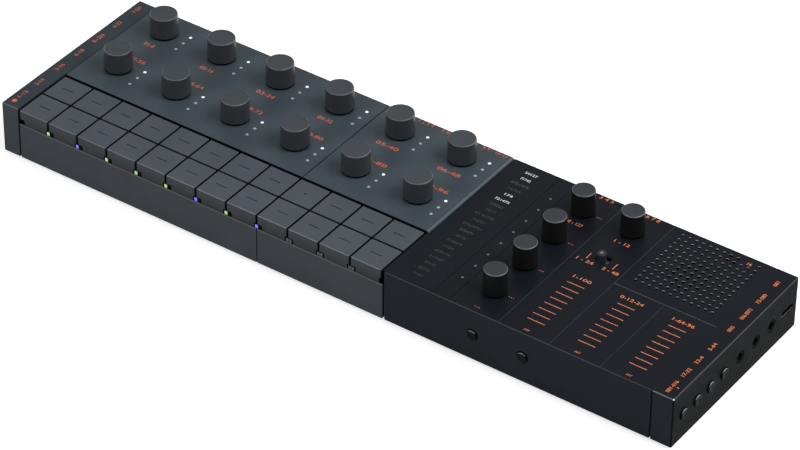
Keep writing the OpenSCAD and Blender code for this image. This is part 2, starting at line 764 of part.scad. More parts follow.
module screws() color("#8c8f92") placed() for (s = screw_spots) translate([s[0], s[1], screw_sink])
    difference() {
        union() {
            cylinder(d = screw_head_d, h = screw_head_h, $fn = 32);
            cylinder(d = screw_d, h = board_top + screw_grip - screw_sink, $fn = 24);
        }
        for (a = [0, 90]) rotate([0, 0, a]) cube([screw_d, screw_d / 4, screw_head_h], center = true);
    }

module battery() color("#9aa0a6") placed()
    translate([battery_x, battery_y, base_t]) cube([battery_w, battery_d, battery_h]);

// ---- Boards, sockets and speaker ----

// Chips on the board: [x, y, width]
chips = [
    [knob_x(x_keys, 1) + key_pitch, knob_mid_y, chip_w], [x_synth, knob_mid_y, chip_w],
    [x_effects + display_line, sound_ys[1], small_chip_w],
    [x_effects + display_line, sound_ys[2], small_chip_w],
    [grille_x, split_y - small_chip_w, small_chip_w]
];

module lamp_pipes(xs) {
    lens_z = front_wall_h + part_gap;
    for (x = xs) translate([x - lamp_w / 2, lamp_inset, 0]) {
        translate([0, 0, lens_z]) cube([lamp_w, lamp_d, lamp_h]);
        translate([0, lamp_d - pipe_t, board_top]) cube([lamp_w, pipe_t, lens_z + lamp_h - board_top]);
    }
}

module main_board() color("#1d5a3a") placed() {
    touch_z = black_under - touch_t;
    touch_x = column_x(3) + groove_w + part_gap;
    difference() {
        translate([board_inset, wall + board_gap, board_z])
            cube([body_l - 2 * board_inset, body_d - 2 * (wall + board_gap), board_t]);
        for (s = screw_spots) translate([s[0], s[1], board_z - cut])
            cylinder(d = screw_d + 2 * screw_gap, h = board_t + 2 * cut, $fn = 24);
        at_front() strip_notch(front_button_xs);
        at_rear() strip_notch(rear_button_xs);
        at_right() socket_notches();
    }
    at_left() edge_switches(left_button_ys);
    at_right() edge_switches(right_button_ys);
    at_front() edge_switches(front_button_xs);
    at_rear() edge_switches(rear_button_xs);
    for (c = chips) translate([c[0] - c[2] / 2, c[1] - c[2] / 2, board_top]) cube([c[2], c[2], chip_h]);
    for (s = concat(drum_knob_spots, synth_knob_spots), i = [0 : dots_per_knob - 1])
        translate([s[0] + dot_offset - led_w / 2, s[1] + dot_back - i * dot_pitch - led_d / 2, board_top])
            cube([led_w, led_d, led_h]);
    lamp_pipes(concat(drum_lamp_xs, synth_lamp_xs));
    translate([effects_x - mode_switch_w / 2, switch_y - mode_switch_d / 2, board_top])
        cube([mode_switch_w, mode_switch_d, switch_h]);
    difference() {
        translate([touch_x, touch_edge, touch_z])
            cube([x_effects_end - wall - touch_x, split_y - 2 * touch_edge, touch_t]);
        for (s = panel_screws_effects) translate([s[0], s[1], touch_z - cut])
            cylinder(d = boss_d + 2 * part_gap, h = touch_t + 2 * cut);
    }
    translate([column_x(1.5) - connector_w / 2, split_y / 2, board_top])
        cube([connector_w, connector_d, touch_z - board_top]);
}

// Room in the board's edge for the sunk sockets
module socket_notches() {
    for (y = jack_ys) translate([-cut, y - jack_body_w / 2 - part_gap, board_z - cut])
        cube([cut + jack_end + part_gap, jack_body_w + 2 * part_gap, board_t + 2 * cut]);
    translate([-cut, usb_y - usb_w / 2 - part_gap, board_z - cut])
        cube([cut + usb_end + part_gap, usb_w + 2 * part_gap, board_t + 2 * cut]);
}

// A jack: a moulded body, a collar that reaches through the end cap, and tabs on the board
module jack() {
    body_x = wall + part_gap;
    tab = [tab_l, jack_body_w + 2 * tab_side, tab_t];
    difference() {
        union() {
            translate([jack_inset, 0, 0]) rotate([0, 90, 0]) cylinder(d = jack_collar_d, h = body_x);
            translate([body_x, -jack_body_w / 2, -jack_body_w / 2 + 0.2])
                cube([jack_end - body_x, jack_body_w, jack_body_w - 0.4]);
            translate([jack_end - tab[0], -tab[1] / 2, board_t / 2]) cube(tab);
        }
        translate([jack_inset - cut, 0, 0]) rotate([0, 90, 0]) cylinder(d = jack_bore_d, h = jack_bore_l + cut);
    }
}

// A flat data socket: a shell with a tongue inside, and a tab on the board behind it
module usb_socket() {
    tongue = [usb_l - usb_back_t, usb_w - 2 * tongue_side, tongue_t];
    translate([jack_inset, 0, 0]) {
        difference() {
            flat_tube(usb_w, usb_h, usb_l);
            translate([-cut, 0, 0])
                flat_tube(usb_w - 2 * usb_t, usb_h - 2 * usb_t, usb_l - usb_back_t + cut);
        }
        translate([usb_back_t, -tongue[1] / 2, -tongue[2] / 2]) cube(tongue);
    }
    translate([usb_end - usb_back_t, -usb_w / 2 + usb_t, board_t / 2])
        cube([tab_l, usb_w - 2 * usb_t, tab_t]);
}

module sockets() color("#141414") placed() at_right() {
    for (y = jack_ys) translate([0, y, port_z]) jack();
    translate([0, usb_y, port_z]) usb_socket();
}

module speaker() color("#303030") placed() translate([speaker_x, speaker_y, black_under]) mirror([0, 0, 1])
    rotate_extrude() {
        r = speaker_d / 2;
        inner_r = r - speaker_rim;
        polygon([
            [0, cone_depth], [cone_d / 2, cone_depth], [inner_r, 0], [r, 0], [r, speaker_rim_t],
            [inner_r, speaker_rim_t], [r / 2, speaker_h - magnet_h], [r / 2, speaker_h], [0, speaker_h]
        ]);
    }

// ---- Key mat ----

// Where a key presses on the mat: 24 places in two rows
module dome_places() {
    for (column = [0 : drum_columns + synth_columns - 1], row = [0, 1])
        translate([key_x(x_keys, column) + key_w / 2, key_y(row) + key_d / 2, 0]) children();
}

module key_mat() color("#d8d8d2") placed() {
    mat_y = lamp_inset + lamp_d + 2 * lamp_gap;
    mat_l = (drum_columns + synth_columns) * key_pitch;
    top_d = dome_d - 2 * dome_h;
    difference() {
        union() {
            translate([x_keys, mat_y, board_top]) cube([mat_l, well_d - mat_y, mat_t]);
            dome_places() translate([0, 0, mat_top]) cylinder(d1 = dome_d, d2 = top_d, h = dome_h);
        }
        dome_places() translate([0, 0, mat_top - dome_t]) {
            cylinder(d1 = dome_d - 2 * dome_t, d2 = top_d - 2 * dome_t, h = dome_h);
            translate([0, 0, -mat_t]) cylinder(d = dome_d - 2 * dome_t, h = mat_t);
        }
        for (s = concat(deck_screws_drum, deck_screws_synth)) translate([s[0], s[1], board_top - cut])
            cylinder(d = boss_d + 2 * stem_gap, h = mat_t + 2 * cut);
    }
}

// ---- Encoders and knobs ----

function bushing_d(shaft_d) = shaft_d + 2 * (shaft_fit + bushing_t);

// An encoder: a square body on the board, and a bushing with a nut above the panel
module encoder(w, shaft_d, h) {
    body_top = board_top + encoder_h;
    difference() {
        union() {
            translate([-w / 2, -w / 2, board_top]) cube([w, w, encoder_h]);
            translate([0, 0, body_top]) cylinder(d = bushing_d(shaft_d), h = h + nut_h - body_top);
            translate([0, 0, h]) cylinder(d = bushing_d(shaft_d) + 2 * nut_lip, h = nut_h);
        }
        translate([0, 0, board_top + encoder_floor]) cylinder(d = shaft_d + 2 * shaft_fit, h = h);
    }
}

module encoders() color("#6d7378") placed() {
    for (s = concat(drum_knob_spots, synth_knob_spots)) translate([s[0], s[1], 0])
        encoder(grey_encoder_w, grey_shaft_d, grey_h);
    for (s = concat(sound_knob_spots, [effects_knob_spot])) translate([s[0], s[1], 0])
        encoder(black_encoder_w, black_shaft_d, black_h);
}

// A knob with its shaft: a slightly tapered cap, hollow below, on a shaft that turns in a bushing
module knob(spot, d, top_d, h, shaft_d, panel_h) {
    low = panel_h + knob_lift;
    high = panel_h + h;
    shaft_z = board_top + encoder_floor + shaft_end_gap;
    translate([spot[0], spot[1], 0]) {
        rotate_extrude() {
            polygon([
                [shaft_d / 2, low + knob_hollow], [d / 2 - knob_skirt, low + knob_hollow],
                [d / 2 - knob_skirt, low], [d / 2, low], [top_d / 2, high - knob_edge_r],
                [top_d / 2 - knob_edge_r, high - knob_edge_r], [shaft_d / 2, high - knob_edge_r]
            ]);
            translate([0, high - knob_edge_r]) square([top_d / 2 - knob_edge_r, knob_edge_r]);
            intersection() {
                translate([top_d / 2 - knob_edge_r, high - knob_edge_r]) circle(knob_edge_r);
                translate([0, high - knob_edge_r]) square([d, knob_edge_r]);
            }
        }
        translate([0, 0, shaft_z]) cylinder(d = shaft_d, h = high - knob_edge_r - shaft_z);
    }
}

module grey_knob(spot) color("#3a3e42") placed()
    knob(spot, grey_knob_d, grey_knob_top_d, grey_knob_h, grey_shaft_d, grey_h);

module black_knob(spot) color("#17181a") placed()
    knob(spot, black_knob_d, black_knob_top_d, black_knob_h, black_shaft_d, black_h);

// ---- Keys ----

// A key cap: a hollow block with a square stem. Front keys have notches round the lamps.
module key(section_x, column, row) color("#565b5f") placed()
    translate([key_x(section_x, column), key_y(row), key_z]) difference() {
        union() {
            difference() {
                round_block(key_w, key_d, key_h, key_edge_r);
                translate([key_wall, key_wall, -cut])
                    cube([key_w - 2 * key_wall, key_d - 2 * key_wall, key_h - key_top_t + cut]);
            }
            translate([(key_w - key_stem_w) / 2, (key_d - key_stem_w) / 2, stem_z - key_z])
                cube([key_stem_w, key_stem_w, key_h - key_top_t - (stem_z - key_z)]);
        }
        if (row == 0) {
            right_w = lamp_w / 2 + lamp_gap - key_gap / 2;
            notch_d = lamp_inset + lamp_d + lamp_gap;
            notch_h = lamp_h + part_gap;
            translate([-cut, -cut, -cut]) cube([notch_w + cut, notch_d + cut, notch_h + cut]);
            translate([key_w - right_w, -cut, -cut]) cube([right_w + cut, notch_d + cut, notch_h + cut]);
        }
    }

// ---- Mode switch ----

// The lever stands at the left end of its slot, on a flat slide under the panel
module mode_switch_lever() color("#3b3d40") placed()
    translate([effects_x - lever_travel / 2, switch_y, 0]) {
        slide_z = black_under - slide_gap - slide_t;
        low = board_top + switch_h + slide_gap;
        slide_l = lever_d + 2 * lever_gap + 2 * lever_travel + part_gap;
        translate([0, 0, low]) cylinder(d = lever_d, h = black_h + lever_h - low);
        translate([-slide_l / 2, -slide_w / 2, slide_z]) cube([slide_l, slide_w, slide_t]);
    }

// ---- Button strips ----

module left_button_strip() color("#2c2f33") placed() at_left() button_strip(left_button_ys);
module right_button_strip() color("#222426") placed() at_right() button_strip(right_button_ys);
module front_button_strip() color("#222426") placed() at_front() button_strip(front_button_xs);
module rear_button_strip() color("#222426") placed() at_rear() button_strip(rear_button_xs);

// ---- The nodes ----

base_plate();
left_end_cap();
drum_case();
synth_case();
effects_case();
right_end_cap();
main_board();
key_mat();
battery();
speaker();
encoders();
sockets();
rubber_feet();
screws();
for (i = [0 : drum_columns - 1]) key(x_keys, i, 1);
for (i = [0 : drum_columns - 1]) key(x_keys, i, 0);
for (i = [0 : synth_columns - 1]) key(x_synth, i, 1);
for (i = [0 : synth_columns - 1]) key(x_synth, i, 0);
for (i = [0 : 7]) grey_knob(drum_knob_spots[i]);
for (i = [0 : 3]) grey_knob(synth_knob_spots[i]);
for (i = [0 : 3]) black_knob(sound_knob_spots[i]);
black_knob(effects_knob_spot);  // effects_knob
mode_switch_lever();
left_button_strip();
right_button_strip();
front_button_strip();
rear_button_strip();
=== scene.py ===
import math
from collections import Counter

import bpy
from mathutils import Matrix, Vector


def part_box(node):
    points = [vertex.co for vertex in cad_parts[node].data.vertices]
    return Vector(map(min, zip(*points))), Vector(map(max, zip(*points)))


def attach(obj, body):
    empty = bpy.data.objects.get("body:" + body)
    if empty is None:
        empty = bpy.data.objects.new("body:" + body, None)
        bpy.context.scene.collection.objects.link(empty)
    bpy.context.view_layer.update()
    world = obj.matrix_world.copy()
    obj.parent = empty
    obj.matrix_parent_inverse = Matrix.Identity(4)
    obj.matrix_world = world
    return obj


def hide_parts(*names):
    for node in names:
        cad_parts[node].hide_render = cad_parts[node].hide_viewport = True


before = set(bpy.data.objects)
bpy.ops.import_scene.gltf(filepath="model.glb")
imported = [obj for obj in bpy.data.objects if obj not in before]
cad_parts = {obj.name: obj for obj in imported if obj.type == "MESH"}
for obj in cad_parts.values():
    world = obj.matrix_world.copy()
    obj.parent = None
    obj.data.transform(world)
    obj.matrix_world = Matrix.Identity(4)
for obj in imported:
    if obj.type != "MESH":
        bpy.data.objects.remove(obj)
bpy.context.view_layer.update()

bl_info = {
    "name": "Drum Machine Pieces",
    "version": (1, 0, 0),
    "blender": (4, 5, 0),
    "location": "3D View > Sidebar > Drum Machine",
    "description": "Models and finishes the cases, keys, knobs, lamps and marks of a drum machine",
    "category": "Object",
}

MM = 0.001
HOUSING = "housing"
# Places are in millimetres from the front left lower corner of the body
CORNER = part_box("left_end_cap")[0]
KEYS = [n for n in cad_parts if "_key_" in n]
GREY_KNOBS = [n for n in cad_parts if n.startswith(("drum_knob_", "synth_knob_"))]
BLACK_KNOBS = [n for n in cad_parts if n.startswith(("sound_knob_", "effects_knob"))]


def spot(x, y, z):
    """The point at x, y, z millimetres from the body's corner"""
    return CORNER + Vector((x, y, z)) * MM


def measure(point):
    """A point in millimetres from the body's corner"""
    return (point - CORNER) / MM


def span(node):
    """Lowest and highest corner of a CAD node, in millimetres from the body's corner"""
    low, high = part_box(node)
    return measure(low), measure(high)


def middle(node):
    """Middle of a CAD node's box, in millimetres from the body's corner"""
    low, high = span(node)
    return (low + high) / 2


# Sizes and places that the solids already have
DRUM_CASE = span("drum_case")
SYNTH_CASE = span("synth_case")
BLACK_CASE = span("effects_case")
GREY_TOP = DRUM_CASE[1].z
BLACK_TOP = BLACK_CASE[1].z
DEPTH = DRUM_CASE[1].y
LENGTH = span("right_end_cap")[1].x
WALL = 2.0
PANEL = 2.0
SEAM = 0.4
GROOVE = 0.7
LIP = 1.4
KEY_PITCH = middle("drum_key_back_2").x - middle("drum_key_back_1").x
KEY_HEIGHT = 6.8
FIRST_KEY = middle("drum_key_front_1")
WELL_END = span("drum_key_back_1")[1].y + 1.0
FRONT_WALL = span("drum_key_front_1")[1].z - KEY_HEIGHT - 0.5
DECK = GREY_TOP - 9.4
DECK_PLATE = 1.4
PORT_HEIGHT = middle("right_button_strip").z
X_BLACK = BLACK_CASE[0].x + LIP
X_CAP = BLACK_CASE[1].x
COLUMN = 24.4
GRILLE_X, GRILLE_Y = X_CAP - COLUMN, DEPTH - 22.6
GRILLE_PITCH = 3.35
# Sides of the pale strip between the synth section and the black section
STRIP_LEFT, STRIP_RIGHT = 202.1, 202.75
# Lamp windows beside a grey knob, from the knob's middle
DOT_SIDE = 11.3
DOT_STEPS = (4.3, -1.1, -6.5)
# Buttons and sockets along the edges
LEFT_BUTTONS = [8 + 13.7 * i for i in range(7)]
RIGHT_BUTTONS = [8.2 + 10.3 * i for i in range(4)]
FRONT_BUTTONS = [X_CAP - k * COLUMN for k in (3.5, 2.5)]
REAR_GREY_BUTTONS = [151.6, 165.6, 179.6, 193.6]
REAR_BLACK_BUTTONS = [250.0, 274.4, 298.24]
JACKS = [51.8, 64.1, 76.4]
DATA_SOCKET = 88.95
# Middle of the figures that name the rear buttons
REAR_ROW = 95


# ---- Modelling steps ----


def release():
    """Leaves edit mode and selects nothing"""
    if bpy.context.object and bpy.context.object.mode != "OBJECT":
        bpy.ops.object.mode_set(mode="OBJECT")
    bpy.ops.object.select_all(action="DESELECT")


def take(*pieces):
    """Selects only these pieces, the first one active"""
    release()
    for piece in pieces:
        piece.select_set(True)
    bpy.context.view_layer.objects.active = pieces[0]


def named(name):
    """Names the piece that was just added"""
    piece = bpy.context.object
    piece.name = piece.data.name = name
    return piece


def settle(piece):
    """Puts the piece's place into its mesh"""
    take(piece)
    bpy.ops.object.transform_apply(location=True, rotation=True, scale=True)
    return piece


def block(name, low, high):
    """A box from corner to corner, in millimetres"""
    low, high = spot(*low), spot(*high)
    release()
    bpy.ops.mesh.primitive_cube_add(size=1, location=(low + high) / 2)
    piece = named(name)
    piece.scale = high - low
    return settle(piece)


def traced(name, points):
    """A line of edges through the points, drawn by extruding one corner"""
    release()
    bpy.ops.mesh.primitive_plane_add(size=MM, location=points[0])
    piece = settle(named(name))
    bpy.ops.object.mode_set(mode="EDIT")
    bpy.ops.mesh.select_mode(type="VERT")
    bpy.ops.mesh.select_all(action="SELECT")
    bpy.ops.mesh.merge(type="CENTER")
    for here, there in zip(points, points[1:]):
        step = {"value": there - here}
        bpy.ops.mesh.extrude_vertices_move(TRANSFORM_OT_translate=step)
    bpy.ops.mesh.select_all(action="SELECT")
    return piece


def prism(name, points, along):
    """A closed outline, extruded; points and along are in metres"""
    piece = traced(name, points)
    bpy.ops.mesh.edge_face_add()
    bpy.ops.mesh.extrude_region_move(TRANSFORM_OT_translate={"value": along})
    bpy.ops.mesh.select_all(action="SELECT")
    bpy.ops.mesh.normals_make_consistent(inside=False)
    release()
    return piece


def profile_x(name, outline, x0, x1):
    """An outline in Y and Z, extruded from x0 to x1"""
    points = [spot(x0, y, z) for y, z in outline]
    return prism(name, points, Vector(((x1 - x0) * MM, 0, 0)))


AXES = {
    "z": (Vector((0, 0, 1)), Vector((1, 0, 0))),
    "x": (Vector((1, 0, 0)), Vector((0, 1, 0))),
    "-x": (Vector((-1, 0, 0)), Vector((0, 1, 0))),
    "y": (Vector((0, 1, 0)), Vector((1, 0, 0))),
    "-y": (Vector((0, -1, 0)), Vector((1, 0, 0))),
}


def turned(name, profile, centre, axis="z", steps=64):
    """A profile of radius and height in millimetres, spun round an axis through centre"""
    along, out = AXES[axis]
    base = spot(*centre)
    points = [base + (out * radius + along * height) * MM for radius, height in profile]
    piece = traced(name, points)
    bpy.ops.mesh.spin(steps=steps, angle=math.tau, center=base, axis=along)
    bpy.ops.mesh.select_all(action="SELECT")
    bpy.ops.mesh.remove_doubles(threshold=MM * 0.002)
    bpy.ops.mesh.normals_make_consistent(inside=False)
    release()
    return piece


def pick(piece, kind, wanted):
    """Opens edit mode with only the wanted faces or edges selected"""
    take(piece)
    bpy.ops.object.mode_set(mode="EDIT")
    bpy.ops.mesh.select_mode(type=kind)
    bpy.ops.mesh.select_all(action="DESELECT")
    bpy.ops.object.mode_set(mode="OBJECT")
    mesh = piece.data
    if kind == "FACE":
        for face in mesh.polygons:
            face.select = wanted(measure(face.center), face.normal)
    else:
        for edge in mesh.edges:
            ends = [measure(mesh.vertices[i].co) for i in edge.vertices]
            edge.select = wanted(*ends)
    bpy.ops.object.mode_set(mode="EDIT")


def bevel_picked(width, segments):
    """Rounds the selected edges by width millimetres"""
    bpy.ops.mesh.bevel(offset=width * MM, segments=segments, affect="EDGES")
    release()


def modified(piece, kind, **settings):
    """Adds a modifier, applies it and returns the piece"""
    take(piece)
    modifier = piece.modifiers.new(kind.lower(), kind)
    for key, value in settings.items():
        setattr(modifier, key, value)
    bpy.ops.object.modifier_apply(modifier=modifier.name)
    return piece


def soften(piece, width, segments=2):
    """Rounds every edge that is still sharp"""
    return modified(
        piece, "BEVEL", width=width * MM, segments=segments,
        limit_method="ANGLE", angle_limit=math.radians(40), use_clamp_overlap=True,
    )


def joined(name, pieces):
    """Several pieces as one"""
    take(*pieces)
    if len(pieces) > 1:
        bpy.ops.object.join()
    return named(name)


def cut(piece, cutters):
    """Takes the cutters away from the piece"""
    tool = joined("cutter", cutters)
    modified(piece, "BOOLEAN", operation="DIFFERENCE", solver="EXACT", object=tool)
    bpy.data.objects.remove(tool)
    return piece


def fused(piece, other):
    """Adds another solid to the piece, as one skin"""
    modified(piece, "BOOLEAN", operation="UNION", solver="EXACT", object=other)
    bpy.data.objects.remove(other)
    return piece


def cleared(piece):
    """Clears what the cuts leave behind: pairs of faces back to back, and faces without area"""

    def rounded(at):
        return tuple(round(c, 3) for c in at)

    places = Counter(rounded(measure(face.center)) for face in piece.data.polygons)
    pick(piece, "FACE", lambda at, way: places[rounded(at)] > 1)
    bpy.ops.mesh.delete(type="FACE")
    bpy.ops.mesh.select_mode(type="VERT")
    bpy.ops.mesh.select_all(action="SELECT")
    bpy.ops.mesh.dissolve_degenerate(threshold=MM * 0.001)
    release()
    return piece


def twin(piece, name, shift):
    """A copy with its own mesh, moved by a shift in millimetres"""
    other = piece.copy()
    other.data = piece.data.copy()
    other.name = other.data.name = name
    other.data.transform(Matrix.Translation(Vector(shift) * MM))
    bpy.context.scene.collection.objects.link(other)
    return other


def copies(piece, name, shifts):
    """One copy of the piece for each shift in millimetres, in place of the piece"""
    made = [twin(piece, f"{name}_{number}", shift) for number, shift in enumerate(shifts, 1)]
    bpy.data.objects.remove(piece)
    return made


def shade(piece, angle=35):
    """Smooth shading across rounded edges, flat on the faces"""
    take(piece)
    bpy.ops.object.shade_smooth_by_angle(angle=math.radians(angle))
    return modified(piece, "WEIGHTED_NORMAL", keep_sharp=True, weight=80)


def dress(piece, *materials):
    """Gives the piece its materials"""
    piece.data.materials.clear()
    for material in materials:
        piece.data.materials.append(material)
    return piece


def paint_faces(piece, slot_number, wanted):
    """Gives the wanted faces another of the piece's materials"""
    for face in piece.data.polygons:
        if wanted(measure(face.center), face.normal):
            face.material_index = slot_number


def fit(piece, slot, body, *nodes):
    """Ties a finished piece to its body and hides the CAD nodes that it stands for; slot is not used"""
    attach(piece, body)
    if nodes:
        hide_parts(*nodes)
    return piece


def hole(centre, radius, depth, axis="z", flare=0.2, steps=24):
    """A cutter for a round hole from its mouth inwards, with a chamfered mouth"""
    profile = [
        (0, -depth), (radius, -depth), (radius, -flare), (radius + flare, 0),
        (radius + flare, 1), (0, 1),
    ]
    return turned("hole", profile, centre, axis, steps)


def holes(centres, radius, depth, axis="z", flare=0.2, steps=24):
    """The same cutter at several places"""
    first = Vector(centres[0])
    tool = hole(first, radius, depth, axis, flare, steps)
    return copies(tool, "hole", [Vector(c) - first for c in centres])


def edge_places(places, axis, tip):
    """Points in a row along the side that axis points out of, where that side lies at tip"""
    if axis in ("x", "-x"):
        return [(tip, place, PORT_HEIGHT) for place in places]
    return [(place, tip, PORT_HEIGHT) for place in places]


def button_holes(places, axis, tip, steps=32):
    """Cutters for the round holes of the edge buttons"""
    return holes(edge_places(places, axis, tip), 2.7, WALL + 1, axis, 0.2, steps)


def arc(centre, radius, start, end, steps):
    """Points on an arc, as pairs; angles in degrees"""
    made = []
    for i in range(steps + 1):
        angle = math.radians(start + (end - start) * i / steps)
        made.append((centre[0] + radius * math.cos(angle), centre[1] + radius * math.sin(angle)))
    return made


# ---- Materials ----


def tone(red, green, blue):
    """A screen colour, 0 to 255, as a linear colour"""
    return tuple(
        c / 12.92 / 255 if c < 10.3 else ((c / 255 + 0.055) / 1.055) ** 2.4
        for c in (red, green, blue)
    )


def scaled(colour, factor, lift=0.0):
    """A lighter or darker colour"""
    return tuple(min(1, c * factor + lift) for c in colour)


class Recipe:
    """Node steps for one material on Object coordinates"""

    def __init__(self, name):
        self.material = bpy.data.materials.get(name) or bpy.data.materials.new(name)
        self.material.use_nodes = True
        self.nodes = self.material.node_tree.nodes
        self.links = self.material.node_tree.links
        self.nodes.clear()
        output = self.add("ShaderNodeOutputMaterial")
        self.shader = self.add("ShaderNodeBsdfPrincipled")
        self.links.new(self.shader.outputs["BSDF"], output.inputs["Surface"])
        self.place = self.add("ShaderNodeTexCoord").outputs["Object"]

    def add(self, kind):
        """A new node"""
        return self.nodes.new(kind)

    def feed(self, value, socket):
        """Links another socket, or sets a number or a colour"""
        if isinstance(value, bpy.types.NodeSocket):
            self.links.new(value, socket)
        elif hasattr(value, "__len__"):
            socket.default_value = (*value, 1)
        else:
            socket.default_value = value

    def noise(self, scale, detail, rough=0.5, stretch=(1, 1, 1)):
        """Cloudy grain with spots of about 1/scale metres"""
        mapping = self.add("ShaderNodeMapping")
        mapping.inputs["Scale"].default_value = stretch
        self.links.new(self.place, mapping.inputs["Vector"])
        node = self.add("ShaderNodeTexNoise")
        self.links.new(mapping.outputs["Vector"], node.inputs["Vector"])
        node.inputs["Scale"].default_value = scale
        node.inputs["Detail"].default_value = detail
        node.inputs["Roughness"].default_value = rough
        return node.outputs["Fac"]

    def ramp(self, value, low, high, out_low=0.0, out_high=1.0):
        """Stretches low..high to out_low..out_high"""
        node = self.add("ShaderNodeMapRange")
        self.feed(value, node.inputs["Value"])
        settings = {"From Min": low, "From Max": high, "To Min": out_low, "To Max": out_high}
        for key, number in settings.items():
            node.inputs[key].default_value = number
        return node.outputs["Result"]

    def level(self, low, high):
        """0 at one height and 1 at another, in millimetres from the body's corner"""
        split = self.add("ShaderNodeSeparateXYZ")
        self.links.new(self.place, split.inputs["Vector"])
        return self.ramp(split.outputs["Z"], spot(0, 0, low).z, spot(0, 0, high).z)

    def blend(self, share, first, second):
        """Mixes two colours"""
        node = self.add("ShaderNodeMix")
        node.data_type = "RGBA"
        self.feed(share, node.inputs["Factor"])
        self.feed(first, node.inputs["A"])
        self.feed(second, node.inputs["B"])
        return node.outputs["Result"]

    def edge_highlight_mask(self, radius):
        """1 on a rounded edge and 0 on a flat, where edge highlights are painted"""
        rounded = self.add("ShaderNodeBevel")
        rounded.samples = 6
        rounded.inputs["Radius"].default_value = radius * MM
        plain = self.add("ShaderNodeNewGeometry")
        dot = self.add("ShaderNodeVectorMath")
        dot.operation = "DOT_PRODUCT"
        self.links.new(rounded.outputs["Normal"], dot.inputs[0])
        self.links.new(plain.outputs["Normal"], dot.inputs[1])
        return self.ramp(dot.outputs["Value"], 1.0, 0.9)

    def bump(self, height, distance):
        """Raises the surface by a height map, in millimetres"""
        node = self.add("ShaderNodeBump")
        node.inputs["Distance"].default_value = distance * MM
        self.links.new(height, node.inputs["Height"])
        self.links.new(node.outputs["Normal"], self.shader.inputs["Normal"])

    def set(self, **values):
        """Sets the shader's own sockets; the names have _ for spaces"""
        for key, value in values.items():
            self.feed(value, self.shader.inputs[key.replace("_", " ")])

    def roughness(self, value, low, high):
        """Lets the roughness wander between two levels, as value does"""
        self.set(Roughness=self.ramp(value, 0.3, 0.7, low, high))


def moulded(name, colour, rough=0.5, grain=0.012, edge=0.35, specular=0.12, foot=None):
    """Moulded plastic: fine spark-eroded grain, slight cloudiness, and a painted highlight on rounded edges,
    as strong as edge

    A foot of (low, high, share) darkens the plastic towards the low height, as painted shade.
    """
    recipe = Recipe(name)
    cloud = recipe.noise(55, 3)
    speck = recipe.noise(5200, 1)
    light = scaled(colour, 1.1)
    body = recipe.blend(recipe.ramp(cloud, 0.3, 0.7), scaled(colour, 0.9), light)
    fleck = recipe.blend(recipe.ramp(speck, 0.35, 0.7, 0, 0.5), body, light)
    # Painted shade: darker towards the low height
    if foot:
        fleck = recipe.blend(recipe.level(*foot[:2]), scaled(colour, foot[2]), fleck)
    # Painted highlight: a paler colour on rounded edges, broken into patches
    highlight_patches = recipe.ramp(recipe.noise(420, 4, 0.7), 0.35, 0.65, 0.4, 1.0)
    share = recipe.add("ShaderNodeMath")
    share.operation = "MULTIPLY"
    recipe.links.new(recipe.edge_highlight_mask(0.3), share.inputs[0])
    recipe.links.new(highlight_patches, share.inputs[1])
    faint = recipe.ramp(share.outputs["Value"], 0, 1, 0, edge)
    recipe.set(Base_Color=recipe.blend(faint, fleck, scaled(colour, 1.6, 0.02)))
    recipe.set(Specular_IOR_Level=specular)
    recipe.roughness(recipe.noise(300, 3), rough - 0.05, rough + 0.06)
    recipe.bump(speck, grain)
    return recipe.material


def highlight_plastic(name, colour, rough=0.24, specular=0.5):
    """Lighter, glossier plastic laid on an edge, corner or spot as a painted highlight"""
    return moulded(name, colour, rough, grain=0.003, edge=0, specular=specular)


def shadowed(name):
    """Near-black colour for faces down in a gap or hole, as painted shade"""
    return moulded(name, tone(13, 14, 15), rough=0.8, edge=0, specular=0.02)


def metal(name, colour, rough, stretch=(1, 1, 14)):
    """Plated or foil metal with fine drawn lines"""
    recipe = Recipe(name)
    lines = recipe.noise(2500, 2, 0.6, stretch)
    recipe.set(Base_Color=recipe.blend(lines, scaled(colour, 0.85), scaled(colour, 1.1)), Metallic=1.0)
    recipe.roughness(recipe.noise(600, 3), rough - 0.06, rough + 0.1)
    recipe.bump(lines, 0.004)
    return recipe.material


def lamp_glow(name, body, glow, strength):
    """A clear lens, brighter in its middle when it is lit"""
    recipe = Recipe(name)
    frost = recipe.noise(2600, 2)
    recipe.set(Base_Color=recipe.blend(frost, body, scaled(body, 1.25)))
    recipe.roughness(frost, 0.25, 0.45)
    if strength:
        spread = recipe.ramp(recipe.noise(900, 2), 0.3, 0.7)
        recipe.set(Emission_Color=recipe.blend(spread, glow, scaled(glow, 0.7)), Emission_Strength=strength)
    recipe.bump(frost, 0.01)
    return recipe.material


def ink(name, colour, glow=0.0):
    """Printed ink with slightly uneven cover"""
    recipe = Recipe(name)
    cover = recipe.noise(3200, 3, 0.6)
    body = recipe.blend(recipe.ramp(cover, 0.3, 0.7), scaled(colour, 0.82), colour)
    recipe.set(Base_Color=body)
    recipe.roughness(cover, 0.4, 0.55)
    if glow:
        recipe.set(Emission_Color=body, Emission_Strength=glow)
    recipe.bump(cover, 0.004)
    return recipe.material


def rubber(name, colour, rough=0.8):
    """Moulded rubber with a dusty bloom"""
    recipe = Recipe(name)
    dust = recipe.noise(900, 4, 0.65)
    share = recipe.ramp(dust, 0.4, 0.8, 0, 0.6)
    recipe.set(Base_Color=recipe.blend(share, colour, scaled(colour, 1.8, 0.01)))
    recipe.roughness(dust, rough - 0.08, rough + 0.08)
    recipe.bump(recipe.noise(3800, 2), 0.02)
    return recipe.material


